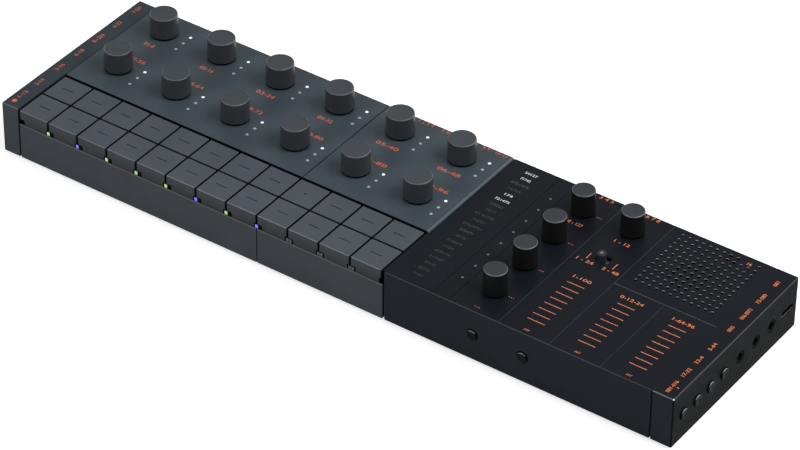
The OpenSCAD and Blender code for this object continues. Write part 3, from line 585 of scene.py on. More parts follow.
def circuit(name, colour):
    """Solder mask over faint copper tracks"""
    recipe = Recipe(name)
    tracks = recipe.add("ShaderNodeTexBrick")
    recipe.links.new(recipe.place, tracks.inputs["Vector"])
    tracks.inputs["Scale"].default_value = 180
    tracks.inputs["Mortar Size"].default_value = 0.03
    tracks.inputs["Color1"].default_value = (*colour, 1)
    tracks.inputs["Color2"].default_value = (*scaled(colour, 0.8), 1)
    tracks.inputs["Mortar"].default_value = (*scaled(colour, 1.7), 1)
    recipe.set(Base_Color=tracks.outputs["Color"])
    recipe.roughness(recipe.noise(400, 3), 0.3, 0.45)
    recipe.bump(tracks.outputs["Fac"], 0.02)
    return recipe.material


# ---- Settings ----


def length(name, description, millimetres):
    """A setting in millimetres, kept in metres"""
    return bpy.props.FloatProperty(
        name=name, description=description, default=millimetres * MM, unit="LENGTH", precision=5
    )


def colour(name, description, *screen):
    """A colour setting, from a screen colour"""
    return bpy.props.FloatVectorProperty(
        name=name, description=description, default=tone(*screen), subtype="COLOR", size=3, min=0, max=1
    )


class DrumMachineSizes(bpy.types.PropertyGroup):
    """Edges, marks and clearances that the pieces share"""

    case_edge: length("Case edge", "Radius of the long outer edges of the cases", 0.6)
    small_edge: length("Small edge", "Radius of the other edges of the cases", 0.22)
    key_edge: length("Key edge", "Radius of the edges round a key's top", 0.4)
    knob_edge: length("Knob edge", "Radius of the edge round a knob's top", 0.55)
    dash_length: length("Key dash", "Length of the mark on a key", 5.6)
    dash_width: length("Key dash width", "Width of the mark on a key", 0.5)
    letter_height: length("Letter height", "Height of the printed figures", 2.2)
    ink_height: length("Ink height", "How far the print stands up from the panels", 0.02)
    lamp_window: length("Lamp window", "Diameter of the lamps beside the knobs", 1.5)
    # The foot's dark colour is painted shade
    knob_foot: length("Knob foot", "Height of the dark foot under a knob's skirt", 0.85)
    key_slack: length("Key slack", "How far a key stays inside its solid on each side", 0.15)


class DrumMachineColours(bpy.types.PropertyGroup):
    """Colours of the panels, controls, print and lamps"""

    grey_panel: colour("Grey panel", "Top of the grey sections", 57, 67, 73)
    cap_panel: colour("Left cap panel", "Top of the left end cap", 39, 48, 54)
    grey_wall: colour("Grey wall", "Walls of the grey sections", 49, 54, 60)
    black_panel: colour("Black panel", "Top of the black section", 17, 20, 26)
    black_wall: colour("Black wall", "Walls of the black section", 34, 38, 44)
    key: colour("Keys", "The square keys", 67, 73, 79)
    # Painted shade: key fronts are darker than the key tops
    key_front: colour("Key fronts", "Front faces of the front keys", 50, 54, 59)
    grey_knob: colour("Grey knobs", "Sides of the knobs of the grey sections", 49, 52, 56)
    grey_knob_top: colour("Grey knob tops", "Tops of the knobs of the grey sections", 57, 62, 67)
    black_knob: colour("Black knobs", "Sides of the knobs of the black section", 22, 22, 23)
    black_knob_top: colour("Black knob tops", "Tops of the knobs of the black section", 47, 50, 54)
    print_orange: colour("Orange print", "Figures on the grey sections", 204, 92, 58)
    print_amber: colour("Amber print", "Figures and ticks on the black section", 224, 122, 76)
    print_white: colour("White print", "Lit rows of the display", 205, 208, 212)
    print_dim: colour("Dim print", "Unlit rows of the display", 33, 36, 41)
    lamp_white: colour("White lamp", "Lit lamps beside the knobs", 214, 219, 226)
    lamp_grey: colour("Grey lamp", "Unlit lamps beside the knobs", 142, 151, 160)
    key_green: colour("Green lamp", "Lit green key lamps", 146, 198, 112)
    key_purple: colour("Purple lamp", "Lit purple key lamps", 114, 84, 228)


def sizes():
    """The scene's size settings"""
    return bpy.context.scene.drum_machine_sizes


def colours():
    """The scene's colour settings"""
    return bpy.context.scene.drum_machine_colours


# ---- Cases ----


def near(a, b, reach=0.01):
    """Tells whether two places are the same"""
    return abs(a - b) < reach


def edge_at(a, b, **places):
    """Tells whether both ends of an edge lie at each of the places, such as y=0"""
    return all(near(getattr(end, axis), at) for axis, at in places.items() for end in (a, b))


def knob_centres(nodes, case, top):
    """Middles of the knobs over a case, at the height of its panel"""
    places = [middle(n) for n in nodes]
    return [Vector((p.x, p.y, top)) for p in places if case[0] < p.x < case[1]]


def dot_centres(case):
    """Three lamp windows beside every grey knob over a case"""
    knobs = knob_centres(GREY_KNOBS, case, GREY_TOP)
    return [k + Vector((DOT_SIDE, dy, 0)) for k in knobs for dy in DOT_STEPS]


def key_lamp_lines():
    """X of the key lamps, from left to right"""
    first = FIRST_KEY.x + KEY_PITCH / 2
    return [first + i * KEY_PITCH for i in range(11)]


def well_outline():
    """Outline in Y and Z of a grey case: front wall, deck, riser, panel and back wall"""
    deck_top = DECK + DECK_PLATE
    under = GREY_TOP - PANEL
    return [
        (0, 0), (0, FRONT_WALL), (WALL, FRONT_WALL), (WALL, deck_top), (WELL_END, deck_top),
        (WELL_END, GREY_TOP), (DEPTH, GREY_TOP), (DEPTH, 0), (DEPTH - WALL, 0),
        (DEPTH - WALL, under), (WELL_END + WALL, under), (WELL_END + WALL, DECK), (WALL, DECK),
        (WALL, 0),
    ]


def grey_case(name, node, x0, x1):
    """A grey case with its key well, stem holes, bushing holes and lamp windows"""
    piece = profile_x(name, well_outline(), x0, x1)
    pick(piece, "EDGE", lambda a, b: edge_at(a, b, y=DEPTH, z=GREY_TOP))
    bevel_picked(sizes().case_edge / MM * 1.6, 6)
    pick(piece, "EDGE", lambda a, b: edge_at(a, b, y=0, z=FRONT_WALL))
    bevel_picked(0.4, 3)
    soften(piece, sizes().small_edge / MM)
    low, high, half = DECK - 1, DECK + 2, 2.7
    stems = [
        block("stem", (at.x - half, at.y - half, low), (at.x + half, at.y + half, high))
        for at in map(middle, KEYS) if x0 < at.x < x1
    ]
    pipes = [
        block("pipe", (x - 1.25, WALL, low), (x + 1.25, 4.05, high))
        for x in key_lamp_lines() if x0 - 1 < x < x1 + 1
    ]
    knobs = knob_centres(GREY_KNOBS, (x0, x1), GREY_TOP)
    windows = holes(dot_centres((x0, x1)), sizes().lamp_window / MM / 2, 0.3, flare=0.08, steps=20)
    cut(piece, stems + pipes + holes(knobs, 3.6, 3, flare=0.05, steps=48) + windows)
    cleared(piece)
    wall_highlight = highlight_plastic("grey_wall_highlight", tone(80, 84, 89), 0.35, 0.15)
    dress(piece, grey_panel(), grey_wall(), shadowed("case_gap"), back_edge_shade(), wall_highlight)
    paint_faces(piece, 1, lambda at, way: at.z < GREY_TOP - 0.5)
    # Painted shade: the upward faces under the keys and the riser's front take the near-black gap colour
    paint_faces(piece, 2, lambda at, way: way.z > 0.5 and at.z < FRONT_WALL + 3 and at.y < WELL_END)
    paint_faces(piece, 2, lambda at, way: way.y < -0.9 and near(at.y, WELL_END, 0.05))
    # Painted shade on the rounded back top edge
    paint_faces(piece, 3, on_far_edge)
    # Painted highlight along the front wall's top edge
    paint_faces(piece, 4, lambda at, way: way.y < -0.2 and way.z > 0.1 and at.y < 0.5
                and at.z > FRONT_WALL - 0.5)
    shade(piece)
    return fit(piece, "grey_case", HOUSING, node)


def on_far_edge(at, way):
    """Tells whether a face is on the rounded top edge at the back or the left"""
    return at.z > GREY_TOP - 1 and way.z > 0.1 and (way.y > 0.1 or way.x < -0.1)


# The finishes that several cases share


def grey_panel():
    return moulded("grey_panel", colours().grey_panel, rough=0.46, edge=0.25)


def grey_wall():
    return moulded("grey_wall", colours().grey_wall, rough=0.48, edge=0.3)


# Painted shade: a dark band for the rounded top edges at the back and the left
def back_edge_shade():
    return moulded("grey_back_edge_shade", tone(36, 40, 44), edge=0.1, specular=0.05)


def black_panel():
    return moulded("black_panel", colours().black_panel, rough=0.42, edge=0.3, specular=0.05)


def black_wall():
    return moulded("black_wall", colours().black_wall, rough=0.5, edge=0.3, specular=0.015)


def on_front_rim(at, way):
    """Tells whether a face is on the rounded edge between a case's top and front"""
    return at.y < 0.7 and at.z > BLACK_TOP - 0.7 and way.y < -0.25 and way.z > 0.25


def in_wall_hole(depth):
    """Tells whether a face at that depth under a side wall's surface lies in one of its holes"""
    return 0.21 < depth < WALL - 0.01


def end_cap(name, x_outer, x_inner, top):
    """A cap that closes one end of the body: a box with rounded outer edges, hollow below"""
    low, high = min(x_outer, x_inner), max(x_outer, x_inner)
    piece = block(name, (low, 0, 0), (high, DEPTH, top))

    def outer(a, b):
        upper = edge_at(a, b, z=top) and not edge_at(a, b, x=x_inner)
        return upper or edge_at(a, b, x=x_outer) and not near(a.z, b.z)

    pick(piece, "EDGE", outer)
    bevel_picked(sizes().case_edge / MM, 5)
    shift = math.copysign(WALL, x_inner - x_outer)
    cut(piece, [block("room", (low + shift, WALL, -1), (high + shift, DEPTH - WALL, top - PANEL))])
    return soften(piece, sizes().small_edge / MM)


def add_well_side(piece, x, top):
    """Adds the wall that closes the key well at one side, from x to the right"""
    return fused(piece, block("well_side", (x, WALL, 13.6), (x + WALL, WELL_END + WALL, top - 1)))


class DRUM_OT_grey_cases(bpy.types.Operator):
    """Model the left end cap and the two grey sections with their key wells"""

    bl_idname = "drum_machine.grey_cases"
    bl_label = "Grey Cases"

    def left_cap(self, start):
        """The left end cap, with the groove and the filled seam beside the drum section, coloured as painted
        shade
        """
        inner = start - GROOVE
        cap = end_cap("left_cap_shell", 0, inner, GREY_TOP)
        cut(cap, button_holes(LEFT_BUTTONS, "-x", 0))
        add_well_side(cap, inner - WALL, GREY_TOP)
        left, right, back, seam_top = inner - 0.5, start - 0.05, DEPTH - 0.6, GREY_TOP - 0.14
        groove = block("groove", (left, 0.6, 0.5), (right, back, GREY_TOP - 0.6))
        seam = block("seam", (left, WELL_END + 0.3, GREY_TOP - 2), (right, back, seam_top))
        cap = joined("left_cap_shell", [cleared(cap), groove, seam])
        top = moulded("cap_panel", colours().cap_panel, rough=0.46, edge=0.2)
        # Painted highlight for the front top edge
        rim = highlight_plastic("cap_rim", tone(76, 80, 85), 0.3, 0.3)
        # Painted shade: dark grey on the seam filler's top, for the groove's shade
        groove_shade = moulded("seam_fill_shade", tone(38, 44, 49), edge=0)
        # Painted shade: the grey wall colour made darker for the cap's walls
        side = moulded("cap_wall_shaded", tone(45, 50, 56), rough=0.48, edge=0.3)
        dress(cap, top, side, shadowed("case_gap"), back_edge_shade(), rim, groove_shade)
        paint_faces(cap, 1, lambda at, way: at.z < GREY_TOP - 0.5)
        # Painted shade: the inner side, the groove and the insides of the button holes
        paint_faces(cap, 2, lambda at, way: at.x > inner + 0.01 or in_wall_hole(at.x))
        # Painted shade on the rounded back and left top edges
        paint_faces(cap, 3, on_far_edge)
        paint_faces(cap, 4, on_front_rim)
        # Painted shade on the seam filler's top
        paint_faces(cap, 5, lambda at, way: way.z > 0.9 and near(at.z, seam_top))
        shade(cap)
        fit(cap, "grey_case", HOUSING, "left_end_cap")

    def synth_section(self):
        """The synth section, with a pale strip at its right edge and a filler in its left seam"""
        left, right = DRUM_CASE[1].x + SEAM, SYNTH_CASE[1].x - SEAM
        synth = grey_case("synth_case_shell", "synth_case", left, right)
        line = block("line", (201.2, WELL_END - 1, GREY_TOP - 0.3), (201.45, DEPTH + 1, GREY_TOP + 1))
        cut(synth, button_holes(REAR_GREY_BUTTONS, "y", DEPTH) + [line])
        low = (STRIP_LEFT, WELL_END + 0.1, BLACK_TOP - 0.5)
        ledge = block("ledge", low, (STRIP_RIGHT, DEPTH - 0.9, GREY_TOP))
        pick(ledge, "EDGE", lambda a, b: edge_at(a, b, x=STRIP_RIGHT, z=GREY_TOP))
        bevel_picked(0.25, 3)
        dress(ledge, moulded("grey_strip", tone(78, 86, 93), rough=0.4, edge=0.5))
        low = (DRUM_CASE[1].x - 0.1, WELL_END + 0.4, 2)
        filler = block("filler", low, (left + 0.1, DEPTH - 0.4, GREY_TOP - 0.6))
        # Painted shade: the seam filler takes the near-black gap colour
        dress(filler, shadowed("case_gap"))
        synth = joined("synth_case_shell", [cleared(synth), ledge, filler])
        paint_faces(synth, 5, lambda at, way: at.x > 201.5 and at.z > GREY_TOP - 0.3)

    def execute(self, context):
        start = DRUM_CASE[0].x
        self.left_cap(start)
        grey_case("drum_case_shell", "drum_case", start, DRUM_CASE[1].x)
        self.synth_section()
        return {"FINISHED"}


def grille_places():
    """Holes of the square grille as (x, y, goes through)"""
    made = []
    for i in range(12):
        for j in range(12):
            through = math.hypot(i - 5, j - 4.5) < 2.8 or (i in (7, 8) and j >= 10)
            if j < 11 or i not in (9, 10):
                x, y = GRILLE_X + (i - 5.5) * GRILLE_PITCH, GRILLE_Y + (j - 5.5) * GRILLE_PITCH
                made.append((x, y, through))
    return made


def engraved(depth, *lines):
    """Cutters for lines of the black panel, each from x0, y0 to x1, y1"""
    half, top = 0.13, BLACK_TOP + 1
    return [
        block("line", (x0 - half, y0 - half, BLACK_TOP - depth), (x1 + half, y1 + half, top))
        for x0, y0, x1, y1 in lines
    ]


def over_grille(at):
    """Tells whether a face is in the square of the grille"""
    return abs(at.y - GRILLE_Y) < 20 and abs(at.x - GRILLE_X) < 20


class DRUM_OT_black_cases(bpy.types.Operator):
    """Model the black sound and effects section and the right end cap"""

    bl_idname = "drum_machine.black_cases"
    bl_label = "Black Cases"

    def shell(self):
        """The black section before its holes: an open profile with rounded edges and a side wall"""
        under = BLACK_TOP - PANEL
        outline = [
            (0, 0), (0, BLACK_TOP), (DEPTH, BLACK_TOP), (DEPTH, 0),
            (DEPTH - WALL, 0), (DEPTH - WALL, under), (WALL, under), (WALL, 0),
        ]
        piece = profile_x("effects_shell", outline, X_BLACK, X_CAP)

        def outer(a, b):
            upper = edge_at(a, b, z=BLACK_TOP) and (near(a.y, 0) == near(b.y, 0) or near(a.x, X_BLACK))
            return (upper or edge_at(a, b, x=X_BLACK, y=0)) and not edge_at(a, b, x=X_CAP)

        pick(piece, "EDGE", outer)
        bevel_picked(sizes().case_edge / MM, 5)
        soften(piece, sizes().small_edge / MM)
        return add_well_side(piece, X_BLACK, BLACK_TOP)

    def openings(self):
        """Cutters for the grille, knobs, edge buttons and switch of the black section"""
        grille = grille_places()
        deep = [(x, y, BLACK_TOP) for x, y, through in grille if through]
        blind = [(x, y, BLACK_TOP) for x, y, through in grille if not through]
        tools = holes(deep, 0.82, 3, flare=0.14, steps=16) + holes(blind, 0.62, 0.8, flare=0.18, steps=16)
        knobs = knob_centres(BLACK_KNOBS, (X_BLACK, X_CAP), BLACK_TOP)
        tools += holes(knobs, 3.1, 3, flare=0.05, steps=48)
        tools += button_holes(FRONT_BUTTONS, "-y", 0)
        tools += button_holes(REAR_BLACK_BUTTONS, "y", DEPTH)
        lever = middle("mode_switch_lever")
        half, top = 2.3, BLACK_TOP + 1
        low = (lever.x - half, lever.y - half, BLACK_TOP - PANEL - 1)
        return tools + [block("slot", low, (lever.x + half + 2, lever.y + half, top))]

    def effects_section(self):
        """The black section with its openings, engraved lines, lip and seam filler"""
        piece = self.shell()
        low = (STRIP_LEFT - 0.05, 1.2, FRONT_WALL + 0.5)
        lip = block("lip", low, (X_BLACK + 0.5, WELL_END - 0.3, BLACK_TOP - 0.25))
        cut(piece, self.openings())
        split = 49.1
        deep_lines = (X_BLACK + 23.6, X_CAP - 4 * COLUMN)
        faint_lines = (X_CAP - 3 * COLUMN, X_CAP - 2 * COLUMN)
        faint_depth, cross_depth = 0.06, 0.12
        cut(piece, engraved(0.3, *((x, -1, x, DEPTH + 1) for x in deep_lines)))
        faint = [(x, -1, x, DEPTH + 1) for x in faint_lines]
        cut(piece, engraved(faint_depth, *faint, (GRILLE_X, -1, GRILLE_X, split - 0.5)))
        cut(piece, engraved(cross_depth, (faint_lines[1], split, X_CAP + 1, split + 0.14)))
        low = (STRIP_LEFT, WELL_END + 0.4, 2)
        seam = block("seam", low, (X_BLACK + 0.4, DEPTH - 0.15, BLACK_TOP - 0.6))
        piece = joined("effects_shell", [cleared(piece), lip, seam])
        gap = shadowed("black_gap")
        line = moulded("faint_line", tone(50, 53, 57), edge=0)
        cross = moulded("cross_line", tone(82, 86, 91), edge=0)
        rim = highlight_plastic("black_edge_highlight", tone(42, 45, 49), 0.32, 0.12)
        mouth = highlight_plastic("grille_highlight", tone(106, 112, 118))
        dress(piece, black_panel(), black_wall(), gap, line, cross, rim, mouth)
        paint_faces(piece, 1, lambda at, way: at.z < BLACK_TOP - 0.55)
        # Painted shade: the seam and lip sides, the button holes, the grille holes and the deep lines
        paint_faces(piece, 2, lambda at, way: at.x < X_BLACK - 0.1 and at.z < BLACK_TOP - 0.55)
        paint_faces(piece, 2, lambda at, way: abs(at.z - PORT_HEIGHT) < 2.8
                    and (in_wall_hole(at.y) or in_wall_hole(DEPTH - at.y)))
        paint_faces(piece, 2, lambda at, way: over_grille(at) and at.z < BLACK_TOP - 0.2)
        paint_faces(piece, 2, lambda at, way: at.z < BLACK_TOP - 0.02
                    and min(abs(at.x - x) for x in deep_lines) < 0.14)
        paint_faces(piece, 3, lambda at, way: near(at.z, BLACK_TOP - faint_depth) and way.z > 0.9)
        paint_faces(piece, 4, lambda at, way: near(at.z, BLACK_TOP - cross_depth) and way.z > 0.9)
        # Painted highlight on the far side of each grille hole's mouth
        paint_faces(piece, 6, lambda at, way: over_grille(at) and way.y < -0.3 and way.z > 0.3
                    and BLACK_TOP - 0.2 < at.z < BLACK_TOP - 0.01)
        # Painted highlight on the front top edge and the front left upright edge
        paint_faces(piece, 5, on_front_rim)
        paint_faces(piece, 5, lambda at, way: way.x < -0.25 and way.y < -0.25)
        shade(piece)
        fit(piece, "black_case", HOUSING, "effects_case")

    def right_cap(self):
        """The right end cap with the holes for its sockets and buttons"""
        inner = X_CAP + SEAM
        cap = end_cap("right_cap_shell", LENGTH, inner, BLACK_TOP)
        jacks = holes(edge_places(JACKS, "x", LENGTH), 3.05, 3, "x", 0.2, 40)
        buttons = button_holes(RIGHT_BUTTONS, "x", LENGTH, 40)
        rebate = block("rebate", (X_CAP, -1, -1), (inner + 0.35, 0.6, BLACK_TOP - 0.6))
        cut(cap, jacks + buttons + [data_slot(4.7, 1.8, LENGTH - 3, LENGTH + 1), rebate])
        left = X_CAP + 0.05
        seam = block("seam", (left, 0.5, BLACK_TOP - 1.2), (inner + 0.5, DEPTH - 0.5, BLACK_TOP - 0.07))
        filler = block("filler", (left, 0.6, 0.5), (inner + 0.3, DEPTH - 0.6, BLACK_TOP - 1.1))
        cap = joined("right_cap_shell", [cleared(cap), seam, filler])
        # Painted highlights: the front top edge, the right top edge and a bright corner glint
        front = highlight_plastic("black_cap_rim", tone(72, 76, 81), 0.3, 0.4)
        side = highlight_plastic("black_side_highlight", tone(44, 47, 51), 0.35, 0.25)
        corner = highlight_plastic("black_corner_glint", tone(205, 208, 212))
        # Painted shade: the end face is much darker than the other black walls
        face = moulded("black_end_wall_shaded", tone(17, 19, 20), rough=0.5, edge=0.2, specular=0.015)
        dress(cap, black_panel(), black_wall(), front, side, corner, shadowed("case_gap"), face)
        paint_faces(cap, 1, lambda at, way: at.z < BLACK_TOP - 0.55)
        upper = BLACK_TOP - 0.7
        paint_faces(cap, 6, lambda at, way: way.x > 0.9
                    or at.x > LENGTH - 0.25 and abs(at.z - PORT_HEIGHT) < 4)
        # Painted highlight on the front top edge
        paint_faces(cap, 2, on_front_rim)
        # Painted highlight on the right top edge
        paint_faces(cap, 3, lambda at, way: at.z > upper and way.x > 0.25 and way.z > 0.25
                    and abs(way.y) < 0.2)
        # Painted glint on the front right top corner
        paint_faces(cap, 4, lambda at, way: at.z > upper and way.x > 0.12 and way.z > 0.12
                    and way.y < -0.12)
        # Painted shade: the front right upright edge, the insides of the holes and the rebate
        paint_faces(cap, 5, lambda at, way: at.y < 0.7 and way.x > 0.25 and way.y < -0.25
                    and way.z < 0.25)
        paint_faces(cap, 5, lambda at, way: abs(at.z - PORT_HEIGHT) < 3.2 and in_wall_hole(LENGTH - at.x))
        paint_faces(cap, 5, lambda at, way: at.x < inner + 0.36 and at.y < 0.61 and at.z < BLACK_TOP - 0.55)
        shade(cap)
        fit(cap, "black_case", HOUSING, "right_end_cap")

    def execute(self, context):
        self.effects_section()
        self.right_cap()
        return {"FINISHED"}


def data_slot(half_width, half_height, x0, x1):
    """A bar with round short sides, along X, where the data socket is"""
    flat = half_width - half_height
    points = arc((DATA_SOCKET + flat, PORT_HEIGHT), half_height, -90, 90, 10)
    points += arc((DATA_SOCKET - flat, PORT_HEIGHT), half_height, 90, 270, 10)
    return profile_x("data_slot", points, x0, x1)


# ---- Keys ----


class DRUM_OT_keys(bpy.types.Operator):
    """Model one key of each row and set the rest out from it"""

    bl_idname = "drum_machine.keys"
    bl_label = "Keys"

    def cap(self, name, low, high):
        """A hollow cap with rounded edges and a square stem"""
        bottom = high.z - KEY_HEIGHT
        room = 5.0
        piece = block(name, (low.x, low.y, bottom), high)
        pick(piece, "FACE", lambda at, way: way.z < -0.9)
        bpy.ops.mesh.inset(thickness=1.2 * MM, depth=0)
        bpy.ops.mesh.extrude_region_move(TRANSFORM_OT_translate={"value": (0, 0, room * MM)})
        bpy.ops.mesh.inset(thickness=4.0 * MM, depth=0)
        stem = (low.z - bottom - room) * MM
        bpy.ops.mesh.extrude_region_move(TRANSFORM_OT_translate={"value": (0, 0, stem)})
        release()

        def at_corner(point):
            side = near(point.x, low.x) or near(point.x, high.x)
            return side and (near(point.y, low.y) or near(point.y, high.y))

        def outer(a, b):
            upright = at_corner(a) and at_corner(b) and not near(a.z, b.z)
            return upright or edge_at(a, b, z=high.z)

        pick(piece, "EDGE", outer)
        bevel_picked(sizes().key_edge / MM, 4)
        return piece

    def notches(self, low, high):
        """Cutters for the lower front corners, where the lamps stand"""
        bottom = high.z - KEY_HEIGHT
        top = bottom + 2.3
        left, right = low.x + 2.6, high.x - 0.95
        tools = []
        for x0, x1, inner, radius in ((low.x - 1, left, left, 0.7), (right, high.x + 1, right, 0.3)):
            tool = block("notch", (x0, low.y - 1, bottom - 1), (x1, low.y + 4.05, top))
            pick(tool, "EDGE", lambda a, b: edge_at(a, b, x=inner, z=top))
            bevel_picked(radius, 5)
            tools.append(tool)
        return tools

    def mark(self, at, dotted):
        """Cutter for the dark mark in the middle of a key's top"""
        if dotted:
            return hole(at, 0.65, 0.2, flare=0.05, steps=24)
        half = Vector((sizes().dash_length, sizes().dash_width, 0)) / MM / 2
        tool = block("dash", at - half - Vector((0, 0, 0.2)), at + half + Vector((0, 0, 1)))
        pick(tool, "EDGE", lambda a, b: not near(a.z, b.z))
        bevel_picked(0.22, 4)
        return tool

    def key(self, name, node, front=False, dotted=False, last=False):
        """A finished key for a node; the last one of a row fills its solid to the right"""
        low, high = span(node)
        slack = sizes().key_slack / MM
        low += Vector((slack, 0 if front else slack, 0))
        high -= Vector((0 if last else slack, slack, 0))
        piece = self.cap(name, low, high)
        at = Vector((middle(node).x, middle(node).y, high.z))
        cut(piece, [self.mark(at, dotted)] + (self.notches(low, high) if front else []))
        body = moulded("key_plastic", colours().key, rough=0.5, edge=0.15)
        foot = high.z - KEY_HEIGHT
        # Painted shade: the fronts are darker than the tops, and darker still towards the foot
        front_face = moulded("key_front", colours().key_front, edge=0.1, foot=(foot, foot + 5, 0.42))
        side_shade = moulded("key_side_shade", tone(24, 26, 28), edge=0, specular=0.02)
        rim = highlight_plastic("key_rim", tone(84, 90, 95))
        dress(piece, body, ink("mark_dark", tone(22, 24, 27)), side_shade, front_face, rim)

        def sunk(point, way):
            over = abs(point.x - at.x) < 4 and abs(point.y - at.y) < 1
            return over and at.z - 0.3 < point.z < at.z - 0.01

        paint_faces(piece, 1, sunk)
        # Painted shade: the sides of the keys are near black
        paint_faces(piece, 2, lambda point, way: way.z < 0.35)
        if front:
            paint_faces(piece, 3, lambda point, way: way.y < -0.7 and abs(point.y - low.y) < 0.2)
            # Painted highlight on the front top edge
            paint_faces(piece, 4, lambda point, way: way.y < -0.25 and way.z > 0.25
                        and point.z > high.z - 0.5)
        return shade(piece)

    def execute(self, context):
        first = {
            "front": self.key("front_key", "drum_key_front_1", front=True),
            "back": self.key("back_key", "drum_key_back_1"),
        }
        for node in KEYS:
            row = "front" if "_front_" in node else "back"
            if node == "synth_key_back_1":
                piece = self.key(node + "_cap", node, dotted=True)
            elif node in ("synth_key_back_4", "synth_key_front_4"):
                piece = self.key(node + "_cap", node, front=row == "front", last=True)
            else:
                piece = twin(first[row], node + "_cap", middle(node) - middle(f"drum_key_{row}_1"))
            fit(piece, "key_plastic", node, node)
        for piece in first.values():
            bpy.data.objects.remove(piece)
        return {"FINISHED"}


# ---- Knobs ----


def knob_profile(low, skirt, high, radius, top_radius, shaft, cavity):
    """Half section of a knob: shaft, hollow foot, tapered skirt, rounded rim and dished top"""
    edge = sizes().knob_edge / MM
    foot = radius - 0.2
    roof = low + 2.0
    dish = top_radius - edge - 0.25
    return [
        (0, low - 7), (shaft, low - 7), (shaft, roof), (cavity, roof),
        (cavity, low + 0.15), (cavity + 0.15, low), (foot - 0.1, low), (foot, low + 0.1),
        (foot, skirt), (radius - 0.1, skirt), (radius, skirt + 0.12),
        *arc((top_radius - edge, high - edge), edge, 5, 90, 6),
        (dish, high - 0.02), (dish - 0.6, high - 0.1), (dish * 0.5, high - 0.14), (0, high - 0.15),
    ]


def make_knobs(nodes, slot, materials, panel, *radii):
    """One knob over a panel, copied to every place; radii of foot, top, shaft and cavity"""
    home = middle(nodes[0])
    high = span(nodes[0])[1].z
    low = panel + 0.3
    skirt = low + sizes().knob_foot / MM
    start = turned(slot, knob_profile(low, skirt, high, *radii), (home.x, home.y, 0), steps=96)
    dress(start, *materials, shadowed("knob_foot"))
    # Painted shade: the foot, shaft and hollow under the skirt are near black
    paint_faces(start, 3, lambda at, way: at.z < skirt + 0.01)
    paint_faces(start, 1, lambda at, way: at.z > high - 0.3)
    # Painted highlight on the rounded rim of the top
    paint_faces(start, 2, lambda at, way: at.z > high - sizes().knob_edge / MM and 0.2 < way.z < 0.9)
    shade(start, 50)
    for node, piece in zip(nodes, copies(start, slot, [middle(n) - home for n in nodes])):
        piece.name = piece.data.name = node + "_cap"
        fit(piece, slot, node, node)


class DRUM_OT_grey_knobs(bpy.types.Operator):
    """Turn the knobs of the grey sections"""

    bl_idname = "drum_machine.grey_knobs"
    bl_label = "Grey Knobs"

    def execute(self, context):
        side = moulded("grey_knob_side", colours().grey_knob, rough=0.36, edge=0.2, specular=0.2)
        top = moulded("grey_knob_top", colours().grey_knob_top, rough=0.5, edge=0.2)
        # Painted highlight for the top rim
        rim = highlight_plastic("grey_knob_highlight", tone(82, 87, 92), 0.3, 0.25)
        make_knobs(GREY_KNOBS, "grey_knob", (side, top, rim), GREY_TOP, 6.55, 6.2, 2.0, 5.35)
        return {"FINISHED"}


class DRUM_OT_black_knobs(bpy.types.Operator):
    """Turn the knobs of the black section"""

    bl_idname = "drum_machine.black_knobs"
    bl_label = "Black Knobs"

    def execute(self, context):
        side = moulded("black_knob_side", colours().black_knob, rough=0.36, edge=0.15, specular=0.03)
        top = moulded("black_knob_top", colours().black_knob_top, rough=0.42, edge=0.4, specular=0.1)
        # Painted highlight for the top rim
        rim = highlight_plastic("black_knob_highlight", tone(80, 84, 89), 0.28, 0.35)
        make_knobs(BLACK_KNOBS, "black_knob", (side, top, rim), BLACK_TOP, 5.35, 5.05, 1.5, 4.15)
        return {"FINISHED"}


class DRUM_OT_mode_switch(bpy.types.Operator):
    """Model the small round lever of the mode switch on its slide"""

    bl_idname = "drum_machine.mode_switch"
    bl_label = "Mode Switch"

    def execute(self, context):
        node = "mode_switch_lever"
        low, high = span(node)
        at = middle(node)
        top = high.z
        profile = [(0, low.z), (1.9, low.z), (2.1, low.z + 0.2)]
        profile += arc((1.55, top - 0.55), 0.55, 0, 75, 5)
        profile += [(1.3, top - 0.08), (0.8, top - 0.03), (0, top)]
        lever = turned("lever", profile, (at.x, at.y, 0), steps=48)
        slide_z = BLACK_TOP - PANEL - 1.2
        slide = block("slide", (low.x, low.y, slide_z), (high.x, high.y, slide_z + 0.9))
        soften(slide, 0.15)
        piece = joined("mode_switch_knob", [lever, slide])
        side = moulded("lever_plastic", tone(38, 41, 44), rough=0.32, edge=0.1)
        dress(piece, side, highlight_plastic("lever_top_highlight", tone(92, 96, 100), 0.3, 0.3), shadowed("lever_slide"))
        # Painted shade on the slide down in the slot
        paint_faces(piece, 2, lambda point, way: point.z < slide_z + 1)
        # Painted highlight: a bright spot in the middle of the top
        paint_faces(piece, 1, lambda point, way: way.z > 0.6 and (point - at).xy.length < 0.85)
        shade(piece, 45)
        fit(piece, "lever_plastic", node, node)
        return {"FINISHED"}


# ---- Edge buttons and sockets ----


